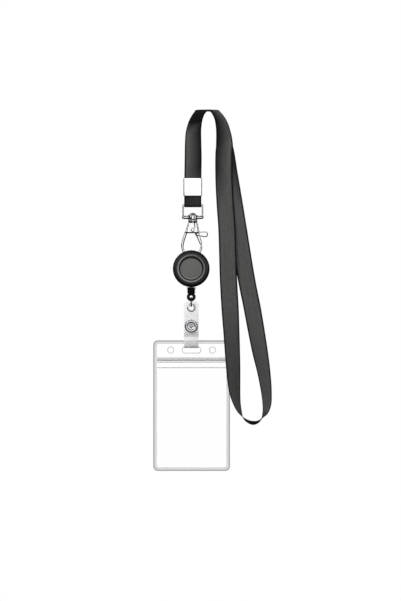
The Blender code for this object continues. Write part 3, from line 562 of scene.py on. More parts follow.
# Tint is what one face lets through; haze is the share of the face that answers light like milky plastic.
clearFinish = {
    "film": {"tint": 1.0, "haze": 0.0, "ior": 1.12, "roughness": 0.06, "ripple": 0.25, "waves": 60.0},
    "weld": {"tint": 0.84, "haze": 0.03, "ior": 1.2, "roughness": 0.25, "ripple": 0.04, "waves": 300.0},
    "line": {"tint": 0.70, "haze": 0.03, "ior": 1.2, "roughness": 0.25, "ripple": 0.04, "waves": 300.0},
    "zip": {"tint": 0.9, "haze": 0.02, "ior": 1.2, "roughness": 0.25, "ripple": 0.03, "waves": 200.0},
    "strap": {"tint": 0.965, "haze": 0.32, "ior": 1.15, "roughness": 0.18, "ripple": 0.15, "waves": 140.0},
}

# Tint of one face at heights in mm: the strap's moulded stop is darker, and the zip has a dark track, a clear
# gap and a lighter lip.
strapBands = [(-208.0, 1.0), (-203.6, 0.97), (-203.2, 1.0), (-201.9, 1.0), (-201.6, 0.95), (-201.3, 1.0),
              (-198.0, 1.0), (-197.7, 0.90), (-194.2, 0.905), (-193.8, 1.0), (-182.0, 1.0), (-180.5, 1.0)]
zipBands = [(-220.3, 0.66), (-219.95, 0.66), (-219.7, 0.985), (-219.0, 0.985), (-218.8, 0.80),
            (-218.35, 0.80), (-218.1, 0.895), (-215.9, 0.895), (-215.7, 0.86)]
# Tint across the weld, from its outer edge in.
weldBands = [(0.0, 0.86), (0.25, 0.62), (0.95, 0.60), (1.25, 0.86), (2.6, 0.84), (2.9, 0.80), (3.1, 0.86)]


# Clear vinyl is a mix of what comes straight through, tinted, and a glossy milky face. The face's share is
# the law for plastic, which rises at a glancing angle, plus the haze.
def clearMaterial(name, finish, bands=None, across=False):
    n = Nodes(name)
    space = n.objectSpace()
    wave = n.noise(finish["waves"], 2.0, space)
    fine = n.noise(900.0, 2.0, space)
    through = n.add("ShaderNodeBsdfTransparent")
    if bands:
        low, high = bands[0][0], bands[-1][0]
        if across:
            place = n.rise(n.split(n.weaveSpace())["X"], low, high)
        else:
            place = n.rise(n.split(space)["Z"], low * mm, high * mm)
        stops = [((at - low) / (high - low), (tint,) * 3) for at, tint in bands]
        n.tree.links.new(n.ramp(place, stops), through.inputs["Color"])
        # The milky face darkens faster than what comes through, as the square of the tint.
        milk = n.ramp(place, [(at, (0.98 * tint[0] ** 2,) * 3) for at, tint in stops])
    else:
        through.inputs["Color"].default_value = (finish["tint"],) * 3 + (1,)
        milk = n.ramp(fine, [(0.3, (0.80, 0.81, 0.81)), (0.8, (0.74, 0.75, 0.75))])
    rough = n.range(fine, 0.3, 0.7, finish["roughness"] - 0.02, finish["roughness"] + 0.05)
    n.set(Base_Color=milk, Roughness=rough, Specular_IOR_Level=0.5)
    n.set(Normal=n.bump(wave, finish["ripple"], 0.0006))
    glance = n.add("ShaderNodeFresnel", {"IOR": finish["ior"]}).outputs["Fac"]
    share = n.maths("MINIMUM", n.maths("ADD", glance, finish["haze"]), 0.8)
    faces = {"Fac": share, 1: through.outputs["BSDF"], 2: n.shader.outputs["BSDF"]}
    mixed = n.add("ShaderNodeMixShader", faces).outputs["Shader"]
    n.tree.links.new(mixed, n.tree.nodes["Material Output"].inputs["Surface"])
    return n.material


# A diagonal wave stands for the braid, in the colour and in the bump.
def cordMaterial():
    n = Nodes("blackCord")
    waves = {"Vector": n.objectSpace(), "Scale": 900.0, "Distortion": 2.0, "Detail": 2.0}
    braid = n.add("ShaderNodeTexWave", waves, bands_direction="DIAGONAL").outputs["Fac"]
    colour = n.ramp(braid, [(0.2, (0.003, 0.003, 0.003)), (0.9, (0.012, 0.012, 0.012))])
    n.set(Base_Color=colour, Roughness=0.62, Normal=n.bump(braid, 0.5, 0.00006))
    n.set(Sheen_Weight=0.05, Sheen_Roughness=0.5, Specular_IOR_Level=0.2)
    return n.material


# Blued steel wire: noise between two greys, which also moves the roughness and the bump.
def springMaterial():
    n = Nodes("springSteel")
    lines = n.noise(700.0, 3.0)
    n.set(Base_Color=n.ramp(lines, [(0.3, (0.42, 0.42, 0.44)), (0.8, (0.30, 0.30, 0.32))]), Metallic=1.0)
    n.set(Roughness=n.range(lines, 0.3, 0.7, 0.26, 0.4), Normal=n.bump(lines, 0.1, 0.00003))
    return n.material


# White nylon: a slow cloud in colour, roughness and bump.
def spoolMaterial():
    n = Nodes("whiteSpool")
    cloud = n.noise(240.0, 3.0)
    n.set(Base_Color=n.ramp(cloud, [(0.3, (0.72, 0.72, 0.70)), (0.8, (0.62, 0.62, 0.60))]))
    n.set(Roughness=n.range(cloud, 0.3, 0.7, 0.4, 0.55), Normal=n.bump(cloud, 0.1, 0.00005))
    return n.material


look = {
    "satin": satinMaterial(satin),
    "tail": satinMaterial(shadedTailSatin),
    "plate": plateMaterial(plate),
    "snap": plateMaterial(snapPlate),
    "cast": castMaterial(),
    "shell": shellMaterial("blackShell"),
    "frontShell": shellMaterial("ringedShell", (discMiddle[0], discMiddle[2], shell["lipRadius"])),
    "rubber": rubberMaterial(),
    "label": labelMaterial(),
    "film": clearMaterial("clearFilm", clearFinish["film"]),
    "weld": clearMaterial("weldedVinyl", clearFinish["weld"], weldBands, across=True),
    "zip": clearMaterial("zipVinyl", clearFinish["zip"], zipBands),
    "line": clearMaterial("weldLine", clearFinish["line"]),
    "vinylStrap": clearMaterial("strapVinyl", clearFinish["strap"], strapBands),
    "cord": cordMaterial(),
    "spring": springMaterial(),
    "spool": spoolMaterial(),
}
print("materials made")

# The neck ribbon. Its cup rises from the first height to the second and dies out from the third to the last.
ribbon = {
    "width": 15.0,
    "thickness": 0.55,
    "layerPitch": 0.9,
    "stepsAlong": 12,
    "stepsAcross": 15,
    "cup": 1.1,
    "cupHeights": (-58, -44, -18, -6),
}

# Stations across the ribbon, in mm: edge A's x, edge B's x, middle z, A's rise over B, middle y, A's distance
# behind B. They are the frame's, but for the tilt of the crown and of the loop's fold, which only show here.
# First the doubled stretch, from the crimp over the crown.
doubledStations = [
    (-6.3, -21.3, -66.4, 0, 0, 0),
    (-6.1, -21.1, -51.3, 0, 0, 0),
    (-6.05, -20.85, -41.1, 0, 0, -2.7),
    (-6.4, -20.55, -27.4, 0, 0, -5.0),
    (-6.6, -19.75, -17.7, 0, 0, -7.8),
    (-6.2, -18.4, -12.2, 0, 0, -10.0),
    (-5.4, -16.9, -7.9, 0, 0, -11.8),
    (-3.8, -14.3, -3.3, -0.8, 0, -13.9),
    (-2.1, -12.2, -0.7, -1.6, 0, -15.0),
    (-1.4, -11.4, 0.2, -2.4, 0, -15.0),
    (-0.5, -10.4, 0.4, -2.6, 0, -15.0),
    (0.3, 8.0, 0.4, -2.6, 0, -15.0),
    (1.2, 9.1, 0.2, -2.4, 0, -15.0),
    (1.9, 10.2, -0.7, -1.6, 0, -15.0),
    (3.5, 12.7, -3.1, -0.8, 0, -14.2),
    (5.35, 15.7, -7.45, 0, -0.1, -12.6),
    (6.3, 17.6, -11.8, 0, -0.2, -11.0),
    (6.85, 19.3, -17.7, 0, -0.5, -9.1),
    (6.85, 20.6, -23.5, 0, -0.9, -6.4),
    (6.6, 21.4, -29.4, 0, -1.4, -2.4),
]
# Then the single stretch, down the loop's left strand, round its bottom and up its right strand.
loopStations = [
    (6.0, 21.0, -37.3, 0, -2.6, 0),
    (5.95, 20.95, -59.4, 0, -5.2, 0),
    (6.9, 21.9, -81.1, 0, -8.0, 0),
    (8.4, 23.4, -103.7, 0, -10.9, 0),
    (9.7, 24.7, -148.1, 0, -15.7, 0),
    (11.0, 26.0, -172.4, 0, -17.9, -1.0),
    (12.6, 26.7, -193.5, 0, -19.5, -5.2),
    (14.65, 27.4, -221.1, 0, -20.4, -7.8),
    (16.2, 27.5, -237.3, 0, -20.4, -9.9),
    (17.9, 27.5, -246.3, 0, -20.3, -11.5),
    (20.7, 27.8, -254.4, 0, -20.2, -13.2),
    (24.4, 28.8, -261.7, 0.7, -20.0, -14.3),
    (29.3, 30.3, -267.2, 2.9, -20.0, -15.0),
    (34.2, 33.9, -270.4, 3.8, -20.0, -14.8),
    (38.15, 38.3, -271.6, 4.8, -20.0, -14.7),
    (42.0, 42.4, -270.9, 4.0, -20.0, -14.8),
    (45.6, 45.2, -268.4, 3.2, -20.0, -15.0),
    (50.4, 46.7, -263.3, 0, -20.0, -14.5),
    (53.5, 46.7, -256.0, 0, -19.9, -13.3),
    (54.1, 45.4, -245.5, 0, -19.7, -12.3),
    (53.2, 42.2, -229.2, 0, -19.2, -10.1),
    (51.4, 38.15, -213.0, 0, -18.6, -7.1),
    (48.6, 34.1, -193.5, 0, -17.5, -3.9),
    (45.2, 30.1, -172.4, 0, -16.0, -1.0),
    (40.5, 25.3, -148.1, 0, -13.8, 0),
    (33.4, 18.2, -103.7, 0, -9.7, 0),
    (28.7, 13.6, -73.9, 0, -6.2, 0),
    (25.1, 10.0, -52.1, 0, -3.5, 0),
    (22.9, 7.8, -37.3, 0, -1.75, 0),
]


# Each edge lies half a rise up or down and half the distance behind or in front of the station's middle.
def stationEdges(stations):
    xa, xb, z, rise, y, behind = np.array(stations, float).T
    return (np.stack([xa, y + behind / 2, z + rise / 2], axis=1),
            np.stack([xb, y - behind / 2, z - rise / 2], axis=1))


# The ribbon's normal at an edge: square to the way along it and the way across.
def edgeNormals(edge, across):
    return unit(np.cross(np.gradient(edge, axis=0), across))


# Both edges of the whole ribbon: the doubled band moved forward by half the layer pitch, the loop,
# and the doubled band moved back and walked the other way.
def neckEdges(steps):
    inner, outer = (smoothCurve(edge, steps) for edge in stationEdges(doubledStations))
    across = outer - inner
    half = ribbon["layerPitch"] / 2
    front = [edge + half * edgeNormals(edge, across) for edge in (inner, outer)]
    back = [edge - half * edgeNormals(edge, across) for edge in (inner, outer)]
    edges = []
    for first, loop, last in zip(front, stationEdges(loopStations), back[::-1]):
        ends = [first[-1 - steps], first[-1], *loop, last[-1], last[-1 - steps]]
        edges.append(np.vstack([first[:-1], smoothCurve(ends, steps)[steps:-steps], last[::-1][1:]]))
    return edges


# A ribbon is a closed skin: at each station the section runs out along the face and home along the back. Its
# half thickness falls as the 10th power of the distance from the middle, with a low bead at each selvedge.
# The cup is a parabola across the ribbon: its middle stands forward of its edges.
def ribbonObject(name, edgeA, edgeB, thickness, bead=0.10, cup=0.0):
    c = np.sin(np.linspace(-math.pi / 2, math.pi / 2, ribbon["stepsAcross"]))
    h = thickness / 2 * ((1 - np.abs(c) ** 10) * 0.86 + bead * np.exp(-((np.abs(c) - 0.93) / 0.03) ** 2))
    c = np.concatenate([c, c[::-1][1:-1]])
    h = np.concatenate([h, -h[::-1][1:-1]])
    across = edgeB - edgeA
    normalA, normalB = edgeNormals(edgeA, across), edgeNormals(edgeB, across)
    share = ((c + 1) / 2)[None, :, None]
    centre = edgeA[:, None] * (1 - share) + edgeB[:, None] * share
    normal = unit(normalA[:, None] * (1 - share) + normalB[:, None] * share)
    arch = np.broadcast_to(cup, (len(edgeA),))[:, None] * (1 - c**2)[None]
    points = centre + normal * (h[None, :] + arch)[..., None]
    obj = gridObject(name, points, wrapColumns=True, capEnds=True)
    run = runAlong((edgeA + edgeB) / 2)
    uv = np.stack(np.broadcast_arrays(c * ribbon["width"] / 2, run[:, None]), axis=-1)
    uvFromArrays(obj, uv.reshape(-1, 2))
    return solidTidy(obj, weld=False), run[-1]


# The cup's share is a trapezium over the height, on the left strand's two runs alike.
def cupShare(middles):
    onLeft = middles[:, 0] < -2
    return onLeft * np.interp(middles[:, 2], ribbon["cupHeights"], (0, 1, 1, 0))


edgeA, edgeB = neckEdges(ribbon["stepsAlong"])
cup = ribbon["cup"] * cupShare((edgeA + edgeB) / 2)
neckRibbon, ribbonLength = ribbonObject("neckRibbon", edgeA, edgeB, ribbon["thickness"], cup=cup)
finishMesh(neckRibbon, look["satin"], "neck", sharpAngle=60)
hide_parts("neck_strap")
print("neck ribbon, length", round(ribbonLength), "mm")

# The hook's tail: the same ribbon, folded round the frame's top bar.
tail = {"thickness": 0.55, "legY": 0.45, "flare": 1.2}
crimpLow, crimpHigh = boxMm("strap_crimp")
tailLow, tailHigh = boxMm("hook_tail")
hookX = float((tailLow[0] + tailHigh[0]) / 2)
foldOuter = float(tailHigh[1])
turn = foldOuter - tail["thickness"] / 2
barZ = float(tailLow[2]) + foldOuter


# The tail's side view: down the front leg, half a turn round the bar, and up the back leg, its mirror image.
def tailRoute():
    top = float(tailHigh[2])
    a = np.linspace(0, math.pi, 25)
    fold = np.stack([-turn * np.cos(a), barZ - turn * np.sin(a)], axis=1)
    legs = [(-tail["legY"], top), (-tail["legY"], top - 4), (-tail["legY"], crimpLow[2] - tail["flare"]),
            (-turn, barZ + 1.2)]
    down = smoothCurve(legs, 8)
    return np.vstack([down, fold, (down * [-1, 1])[::-1]])


route = tailRoute()
halfRibbon = ribbon["width"] / 2
tailEdges = [atX(hookX + hand * halfRibbon, route) for hand in (-1, 1)]
hookTail, _ = ribbonObject("hookTail", *tailEdges, tail["thickness"])
finishMesh(hookTail, look["tail"], "neck", sharpAngle=60)
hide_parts("hook_tail")

# The crimp: a plated sleeve.
crimp = {"wall": 0.5, "corner": 1.3, "belly": 0.05}


# The crimp's section is a round-cornered box: four quarter circles pushed out to an inner box's corners. It
# goes up the sleeve's height. Both rims roll over as a half round, and the faces belly out as half a sine.
def makeCrimp():
    low, high = crimpLow, crimpHigh
    wide, deep, _ = high - low
    wall, corner, belly = crimp["wall"], crimp["corner"], crimp["belly"]
    a = np.radians(np.concatenate([np.linspace(q, q + 90, 12) for q in (0, 90, 180, 270)]))
    toward = np.stack([np.cos(a), np.sin(a)], axis=1)
    sign = np.repeat([[1, 1], [-1, 1], [-1, -1], [1, -1]], 12, axis=0)
    # Inset and height of each ring: up the outside, over the top lip, down the inside, round the bottom lip.
    roll = np.linspace(0, math.pi, 9)
    lipIn, lipUp = wall / 2 * (1 - np.cos(roll)), wall / 2 * np.sin(roll)
    z0, z1 = low[2] + wall / 2, high[2] - wall / 2
    up = np.linspace(z0, z1, 14)
    inset = np.concatenate([np.zeros(14), lipIn[1:-1], np.full(14, wall), lipIn[::-1][1:-1]])
    height = np.concatenate([up, z1 + lipUp[1:-1], up[::-1], z0 - lipUp[1:-1]])
    out = belly * np.sin(math.pi * np.clip((height - z0) / (z1 - z0), 0, 1))
    radius = (corner - inset)[:, None]
    boxWide, boxDeep = wide / 2 - corner, (deep / 2 - corner - belly + out)[:, None]
    mid = (low + high) / 2
    x = mid[0] + sign[:, 0] * boxWide + toward[:, 0] * radius
    y = mid[1] + sign[:, 1] * boxDeep + toward[:, 1] * radius
    points = np.stack(np.broadcast_arrays(x, y, height[:, None]), axis=-1)
    return gridObject("strapCrimp", points, wrapRows=True, wrapColumns=True)


strapCrimp = makeCrimp()
finishMesh(strapCrimp, look["plate"], "neck", merge=True)
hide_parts("strap_crimp")
print("crimp and tail made")

# The swivel frame, with the boss that the post turns in.
swivel = {
    "barRadius": 1.0,
    "wire": 1.4,
    "depth": 2.4,
    "railHeight": 3.0,
    "railDepth": 3.0,
    "railBelowBoss": 0.7,
    "corner": 1.1,
    "bossRadius": 4.4,
    "bossHeight": 4.5,
    "bore": 1.7,
}
frameLow, frameHigh = boxMm("swivel_frame")
postLow, postHigh = boxMm("swivel_post")
bossBottom = float(frameLow[2])
bossTop = bossBottom + swivel["bossHeight"]


# The frame is a closed sweep: its line is a round-cornered rectangle, and its section changes from the
# round top bar to the deeper sides and the tall rail as the height falls.
def makeSwivelFrame():
    bar, wire, depth = 2 * swivel["barRadius"], swivel["wire"], swivel["depth"]
    half = (frameHigh[0] - frameLow[0]) / 2 - wire / 2
    railZ = bossTop - swivel["railBelowBoss"] - swivel["railHeight"] / 2
    corners = [(-half, barZ), (half, barZ), (half, railZ), (-half, railZ)]
    line = cutEvenly(softened(corners, swivel["corner"], 9, closed=True), 0.5)
    z = line[:, 1]
    belowBar = np.clip((barZ - z) / 3.0, 0, 1)
    onRail = np.clip((railZ + 1.4 - z) / 1.2, 0, 1)
    onRail = onRail**2 * (3 - 2 * onRail)
    deep = bar + (depth - bar) * belowBar + (swivel["railDepth"] - depth) * onRail
    tall = wire + (bar - wire) * np.clip(1 - belowBar * 1.6, 0, 1) + (swivel["railHeight"] - wire) * onRail
    section = roundSection(1.0, 1.0, 2.15, 24)[None] * np.stack([deep, tall], axis=1)[:, None]
    points = sweptPoints(atY(0, line + [hookX, 0]), section, (0, 1, 0), cyclic=True)
    loop = gridObject("swivelFrame", points, wrapRows=True, wrapColumns=True)
    r, bore = swivel["bossRadius"], swivel["bore"]
    profile = [(bore, bossTop), (r - 0.5, bossTop), (r, bossTop - 0.7), (r, bossBottom + 0.6),
               (r - 0.6, bossBottom), (bore, bossBottom)]
    boss = turnedObject("boss", softened(profile, 0.45, 5, closed=True), (hookX, 0, 0), "Z", 72, closed=True)
    return joined("swivelFrame", [solidTidy(loop), solidTidy(boss)])


swivelFrame = makeSwivelFrame()
finishMesh(swivelFrame, look["cast"], "frame")
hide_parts("swivel_frame")

# The swivel's post, a button-headed rivet.
post = {"headRadius": 2.75, "radius": 1.4, "play": 0.3, "edge": 0.12}


# The post is turned: a quarter ellipse for its head, then a straight stem.
def makeSwivelPost():
    top, bottom = float(postHigh[2]), float(postLow[2])
    under = bossTop + post["play"]
    a = np.linspace(math.pi / 2, 0.12, 14)
    head, shank = post["headRadius"], post["radius"]
    dome = np.stack([head * np.cos(a), under + (top - under) * np.sin(a)], axis=1)
    dome[0, 0] = 0
    stem = softened([(head, under + 0.1), (head - 0.1, under), (shank, under), (shank, bottom), (0, bottom)],
                    post["edge"], 4)
    return turnedObject("swivelPost", np.vstack([dome, stem]), (hookX, 0, 0), "Z", 64)


swivelPost = makeSwivelPost()
finishMesh(swivelPost, look["cast"], "hook", merge=True)
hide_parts("swivel_post")

# The hook's cast body: collar, block and bow.
hook = {
    "blockHeight": 9.7,
    "collarHeight": 1.7,
    "rivetBore": 1.3,
    "topHalf": 4.15,
    "leftHalf": 6.9,
    "rightHalf": 6.1,
    "depth": 5.2,
    "slotDepth": 3.0,
    "slotRoof": 4.0,
    "score": (1.3, 0.6, 0.25),  # how far right of the rivet, how wide, and the metal left behind it
    "noseRoll": 0.7,
    "collarRadius": 4.15,
    "armRadius": 1.2,
    "bowRadius": 1.0,
}
rivetZ = float(middle("gate_rivet")[2])
collarTop = float(boxMm("hook_body")[1][2])
blockTop = collarTop - hook["collarHeight"]
blockBottom = blockTop - hook["blockHeight"]

# The bow's middle line from the block's left side round to the nose, from the rivet: x, z, radius.
bowRoute = [
    (-5.8, -1.8, hook["armRadius"]),
    (-7.7, -7.3, hook["armRadius"]),
    (-9.1, -12.8, hook["armRadius"]),
    (-8.9, -15.8, hook["bowRadius"]),
    (-7.5, -20.2, hook["bowRadius"]),
    (-5.5, -23.4, hook["bowRadius"]),
    (-1.2, -23.8, hook["bowRadius"]),
    (3.1, -23.4, hook["bowRadius"]),
    (5.4, -20.4, hook["bowRadius"]),
    (7.0, -17.2, hook["bowRadius"]),
    (7.5, -13.6, hook["bowRadius"]),
]


# The block is lofted: a superellipse whose half widths run straight from the collar to the shoulders. It
# closes as a quarter circle toward its bottom, and a little at its top.
def makeHookBlock():
    t = np.linspace(0, 1, 40)[:, None]
    z = blockTop - hook["blockHeight"] * t
    left = hook["topHalf"] + (hook["leftHalf"] - hook["topHalf"]) * t
    right = hook["topHalf"] + (hook["rightHalf"] - hook["topHalf"]) * t
    bottomRoll = np.sqrt(np.clip(1 - np.clip((t - 0.87) / 0.13, 0, 1) ** 2, 0, 1))
    topRoll = np.sqrt(1 - 0.35 * np.clip((0.06 - t) / 0.06, 0, 1) ** 2)
    a = np.linspace(0, 2 * math.pi, 96, endpoint=False)
    s, c = np.sin(a), np.cos(a)
    across, through = np.sign(c) * np.abs(c) ** (2 / 5), np.sign(s) * np.abs(s) ** (2 / 5)
    x = hookX + across * np.where(c > 0, right, left) * (0.9 + 0.1 * bottomRoll) * topRoll
    y = through * hook["depth"] / 2 * topRoll * (0.35 + 0.65 * bottomRoll)
    points = np.stack(np.broadcast_arrays(x, y, z), axis=-1)
    return gridObject("hookBody", points, wrapColumns=True, capEnds=True)


# The collar is turned and waisted where it meets the block.
def makeCollar():
    r, waist = hook["collarRadius"], hook["collarRadius"] - 0.5
    profile = [(0, collarTop), (r, collarTop), (r, collarTop - 1.0), (waist, blockTop - 0.1),
               (waist, blockTop - 0.8), (0, blockTop - 0.8)]
    return turnedObject("collar", softened(profile, 0.35, 5), (hookX, 0, 0), "Z", 72)


# The bow is swept along its line; its nose is rounded off over the last stretch as a quarter circle.
def makeBow():
    line = smoothCurve([(hookX + x, 0, rivetZ + z) for x, z, _ in bowRoute], 10)
    radii = smoothCurve([(radius, 0) for _, _, radius in bowRoute], 10)[:, 0]
    run = runAlong(line)
    toEnd = np.clip((run[-1] - run) / hook["noseRoll"], 0, 1)
    radii = radii * np.sqrt(np.clip(1 - (1 - toEnd) ** 2, 0.04, 1))
    points = sweptPoints(line, roundSection(2.0, 2.0, 2.3, 24), (0, 1, 0), radii)
    return gridObject("bow", points, wrapColumns=True, capEnds=True)


# The block is bored for the rivet, slotted for the gate, and scored beside the rivet.
def makeHookBody():
    slot, slotLeft, slotTop = hook["slotDepth"] / 2, hookX - 4.4, blockTop - hook["slotRoof"]
    score, wide, skin = hook["score"]
    scoreX = hookX + score
    cutters = [
        pin("bore", (hookX, 0, rivetZ), hook["rivetBore"], -4, 4),
        boxObject("slot", (slotLeft, -slot, blockBottom - 2), (hookX + 12, slot, slotTop)),
        boxObject("score", (scoreX, -hook["depth"], rivetZ + 1.9),
                  (scoreX + wide, -slot - skin, blockTop - 0.6)),
    ]
    block = cutWith(solidTidy(makeHookBlock()), cutters)
    return joined("hookBody", [block, solidTidy(makeCollar()), solidTidy(makeBow())])


hookBody = makeHookBody()
finishMesh(hookBody, look["cast"], "hook", sharpAngle=50)
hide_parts("hook_body")

# The gate's rivet.
rivetHead = {"radius": 1.75, "height": 0.55, "shank": 1.0}


# Two quarter-ellipse heads on a thinner shank, turned.
def makeGateRivet():
    low, high = boxMm("gate_rivet")
    a = np.linspace(0, math.pi / 2, 10)
    rim = rivetHead["radius"] * np.sin(a)
    rise = rivetHead["height"] * np.cos(a)
    front = np.stack([rim, low[1] + rivetHead["height"] - rise], axis=1)
    back = np.stack([rim[::-1], high[1] - rivetHead["height"] + rise[::-1]], axis=1)
    under = rivetHead["height"] + 0.07
    neck = [(rivetHead["shank"], low[1] + under), (rivetHead["shank"], high[1] - under)]
    return turnedObject("gateRivet", np.vstack([front, neck, back]), (hookX, 0, rivetZ), "Y", 48)


gateRivet = makeGateRivet()
finishMesh(gateRivet, look["plate"], "hook", merge=True)
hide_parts("gate_rivet")

# The gate with its thumb lever. A bar has its start, radius there, end and radius there, from the rivet.
gate = {
    "thickness": 2.2,
    "bevel": 0.9,
    "step": 0.05,
    "arm": ((4.4, -4.2), 1.7, (7.2, -12.0), 1.1),
    "lever": ((3.6, -3.4), 1.7, (10.9, -3.9), 2.5),
    "hub": ((0, 0), 2.6, (4.6, -4.8), 1.6),
    "springWell": 3.2,
    "bore": 1.3,
}


# A bar with round ends of two radii, as points and outward directions: the outer tangents join the two arcs.
def taperedOutline(start, r0, end, r1, steps=14):
    heading = math.atan2(end[1] - start[1], end[0] - start[0])
    lean = math.acos((r0 - r1) / math.dist(start, end))
    turn = np.concatenate([heading + lean + (2 * math.pi - 2 * lean) * np.linspace(0, 1, steps),
                           heading - lean + 2 * lean * np.linspace(0, 1, steps)])
    away = np.stack([np.cos(turn), np.sin(turn)], axis=1)
    radius = np.repeat([r0, r1], steps)[:, None]
    return np.repeat([start, end], steps, axis=0) + radius * away, away


# A flat bar with rounded edges: its outline shrinks toward each face as a quarter circle.
def barObject(name, outline, away, low, high, roll):
    a = np.linspace(math.pi / 2, 0, 8)
    inset = roll * (1 - np.cos(a))
    y = np.concatenate([low + roll * (1 - np.sin(a[::-1])), high - roll * (1 - np.sin(a))])
    inset = np.concatenate([inset[::-1], inset])
    shape = outline[None] - away[None] * inset[:, None, None]
    points = np.stack([shape[..., 0], np.broadcast_to(y[:, None], shape.shape[:2]), shape[..., 1]], axis=-1)
    return solidTidy(gridObject(name, points, wrapColumns=True, capEnds=True))


# Three bars, each a little thinner than the one before, so that their faces never lie in one plane.
def makeGate():
    half, at = gate["thickness"] / 2, np.array([hookX, rivetZ])
    bars = []
    for k, name in enumerate(("arm", "lever", "hub")):
        start, r0, end, r1 = gate[name]
        face = half - k * gate["step"]
        outline, away = taperedOutline(at + start, r0, at + end, r1)
        bars.append(barObject(name, outline, away, -face, face, gate["bevel"]))
    arm, lever, hub = bars
    cutWith(hub, [pin("spring", (hookX, 0, rivetZ), gate["springWell"], 0, half + 1),
                  pin("bore", (hookX, 0, rivetZ), gate["bore"], -3, 3)])
    return joined("hookGate", [hub, arm, lever])


hookGate = makeGate()
finishMesh(hookGate, look["cast"], "gate", sharpAngle=50)
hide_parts("hook_gate")
print("swivel and hook made")

# The reel's two covers.
reel = {
    "radius": 16.05,
    "ring": 11.6,
    "recess": 9.9,
    "wall": 1.2,
    "axlePost": 2.0,
    "bore": 1.3,
    "outlet": 0.9,
}
reelX, reelZ = discMiddle[0], discMiddle[2]
coverLow, coverHigh = boxMm("reel_front_cover")
reelFront, parting = float(coverLow[1]), float(coverHigh[1])
reelBack = float(boxMm("reel_back_cover")[1][1])
cordY = (reelFront + reelBack) / 2


# Turned: a recess for the label, a sloped lip up to the raised ring, a shallow dome and the rim; flat inside.
def makeFrontCover():
    r, ring, recess, f = reel["radius"], reel["ring"], reel["recess"], reelFront
    outside = [(0, f + 1.0), (recess, f + 1.0), (recess + 0.25, f + 0.35), (recess + 0.9, f + 0.28),
               (ring - 0.35, f), (ring + 0.2, f), (ring + 0.7, f + 0.4), (ring + 0.9, f + 0.62),
               (ring + 1.3, f + 0.60), (r * 0.87, f + 0.72), (r * 0.93, f + 1.2), (r * 0.975, f + 2.0),
               (r, f + 3.1), (r, parting - 0.3), (r - 0.12, parting)]
    roof, within = f + 2.0, r - reel["wall"]
    inside = [(within, parting), (within, roof + 0.8), (13.9, roof), (0, roof)]
    profile = np.vstack([softened(outside, 0.35, 5), inside])
    return turnedObject("reelFrontCover", profile, (reelX, 0, reelZ), "Y", 160)


# Turned: a flat back with a rolled rim, one wall thick, and the hollow post that the spool runs on.
def makeBackCover():
    r, wall, post, bore, b = reel["radius"], reel["wall"], reel["axlePost"], reel["bore"], reelBack
    start, floor, postEnd = cordY + 0.15, b - wall, reelFront + 2.3
    profile = [(bore, b - 0.1), (6.5, b - 0.1), (6.7, b), (r - 1.6, b), (r - 0.9, b - 0.25),
               (r - 0.3, b - 0.9), (r, b - 1.7), (r, start + 0.3), (r - 0.12, start), (r - wall, start),
               (r - wall, floor - 0.4),
               (r - wall - 0.5, floor), (post, floor), (post, postEnd), (bore, postEnd)]
    return turnedObject("reelBackCover", softened(profile, 0.3, 4, closed=True), (reelX, 0, reelZ), "Y", 128,
                        closed=True)


# The cord's outlet is bored upward through the rim, where the two covers meet.
def outletCutter():
    return pin("outlet", (reelX, cordY, 0), reel["outlet"], reelZ - 17.5, reelZ - 13.2, "Z", 32)


frontCover = cutWith(solidTidy(makeFrontCover()), [outletCutter()])
finishMesh(frontCover, look["frontShell"], "reel", sharpAngle=45)
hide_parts("reel_front_cover")
backCover = cutWith(solidTidy(makeBackCover()), [outletCutter()])
finishMesh(backCover, look["shell"], "reel", sharpAngle=45)
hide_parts("reel_back_cover")

# The label disc in the front cover's recess.
disc = {"dome": 0.16, "edge": 0.22}


# The disc's face is a shallow dome: its height falls with the square of the radius, then rolls over its edge.
def makeLabelDisc():
    low, high = boxMm("label_disc")
    r = (high[0] - low[0]) / 2
    q = np.linspace(0, 1, 24)
    face = np.stack([q * (r - disc["edge"]), low[1] + disc["dome"] * q**2], axis=1)
    edge = [(r, low[1] + disc["dome"] + 0.16), (r, high[1]), (0, high[1])]
    profile = np.vstack([face, softened([face[-1], *edge], 0.15, 4)[1:]])
    return turnedObject("labelDisc", profile, (reelX, 0, reelZ), "Y", 128)


labelDisc = makeLabelDisc()
finishMesh(labelDisc, look["label"], "reel", merge=True)
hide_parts("label_disc")

# The belt clip and its rivet. The outer leg goes by distance behind the bow and drop below the fold.
clip = {
    "width": 7.0,
    "thickness": 0.6,
    "fold": 1.5,
    "outerLeg": [(2.3, 2.6), (4.4, 6.0), (4.9, 9.5), (4.9, 17.5), (3.4, 22.0), (3.0, 24.5), (4.2, 26.5)],
    "crease": 0.35,
    "creaseWidth": 0.9,
    "bore": 1.3,
}
clipHigh = boxMm("belt_clip")[1]


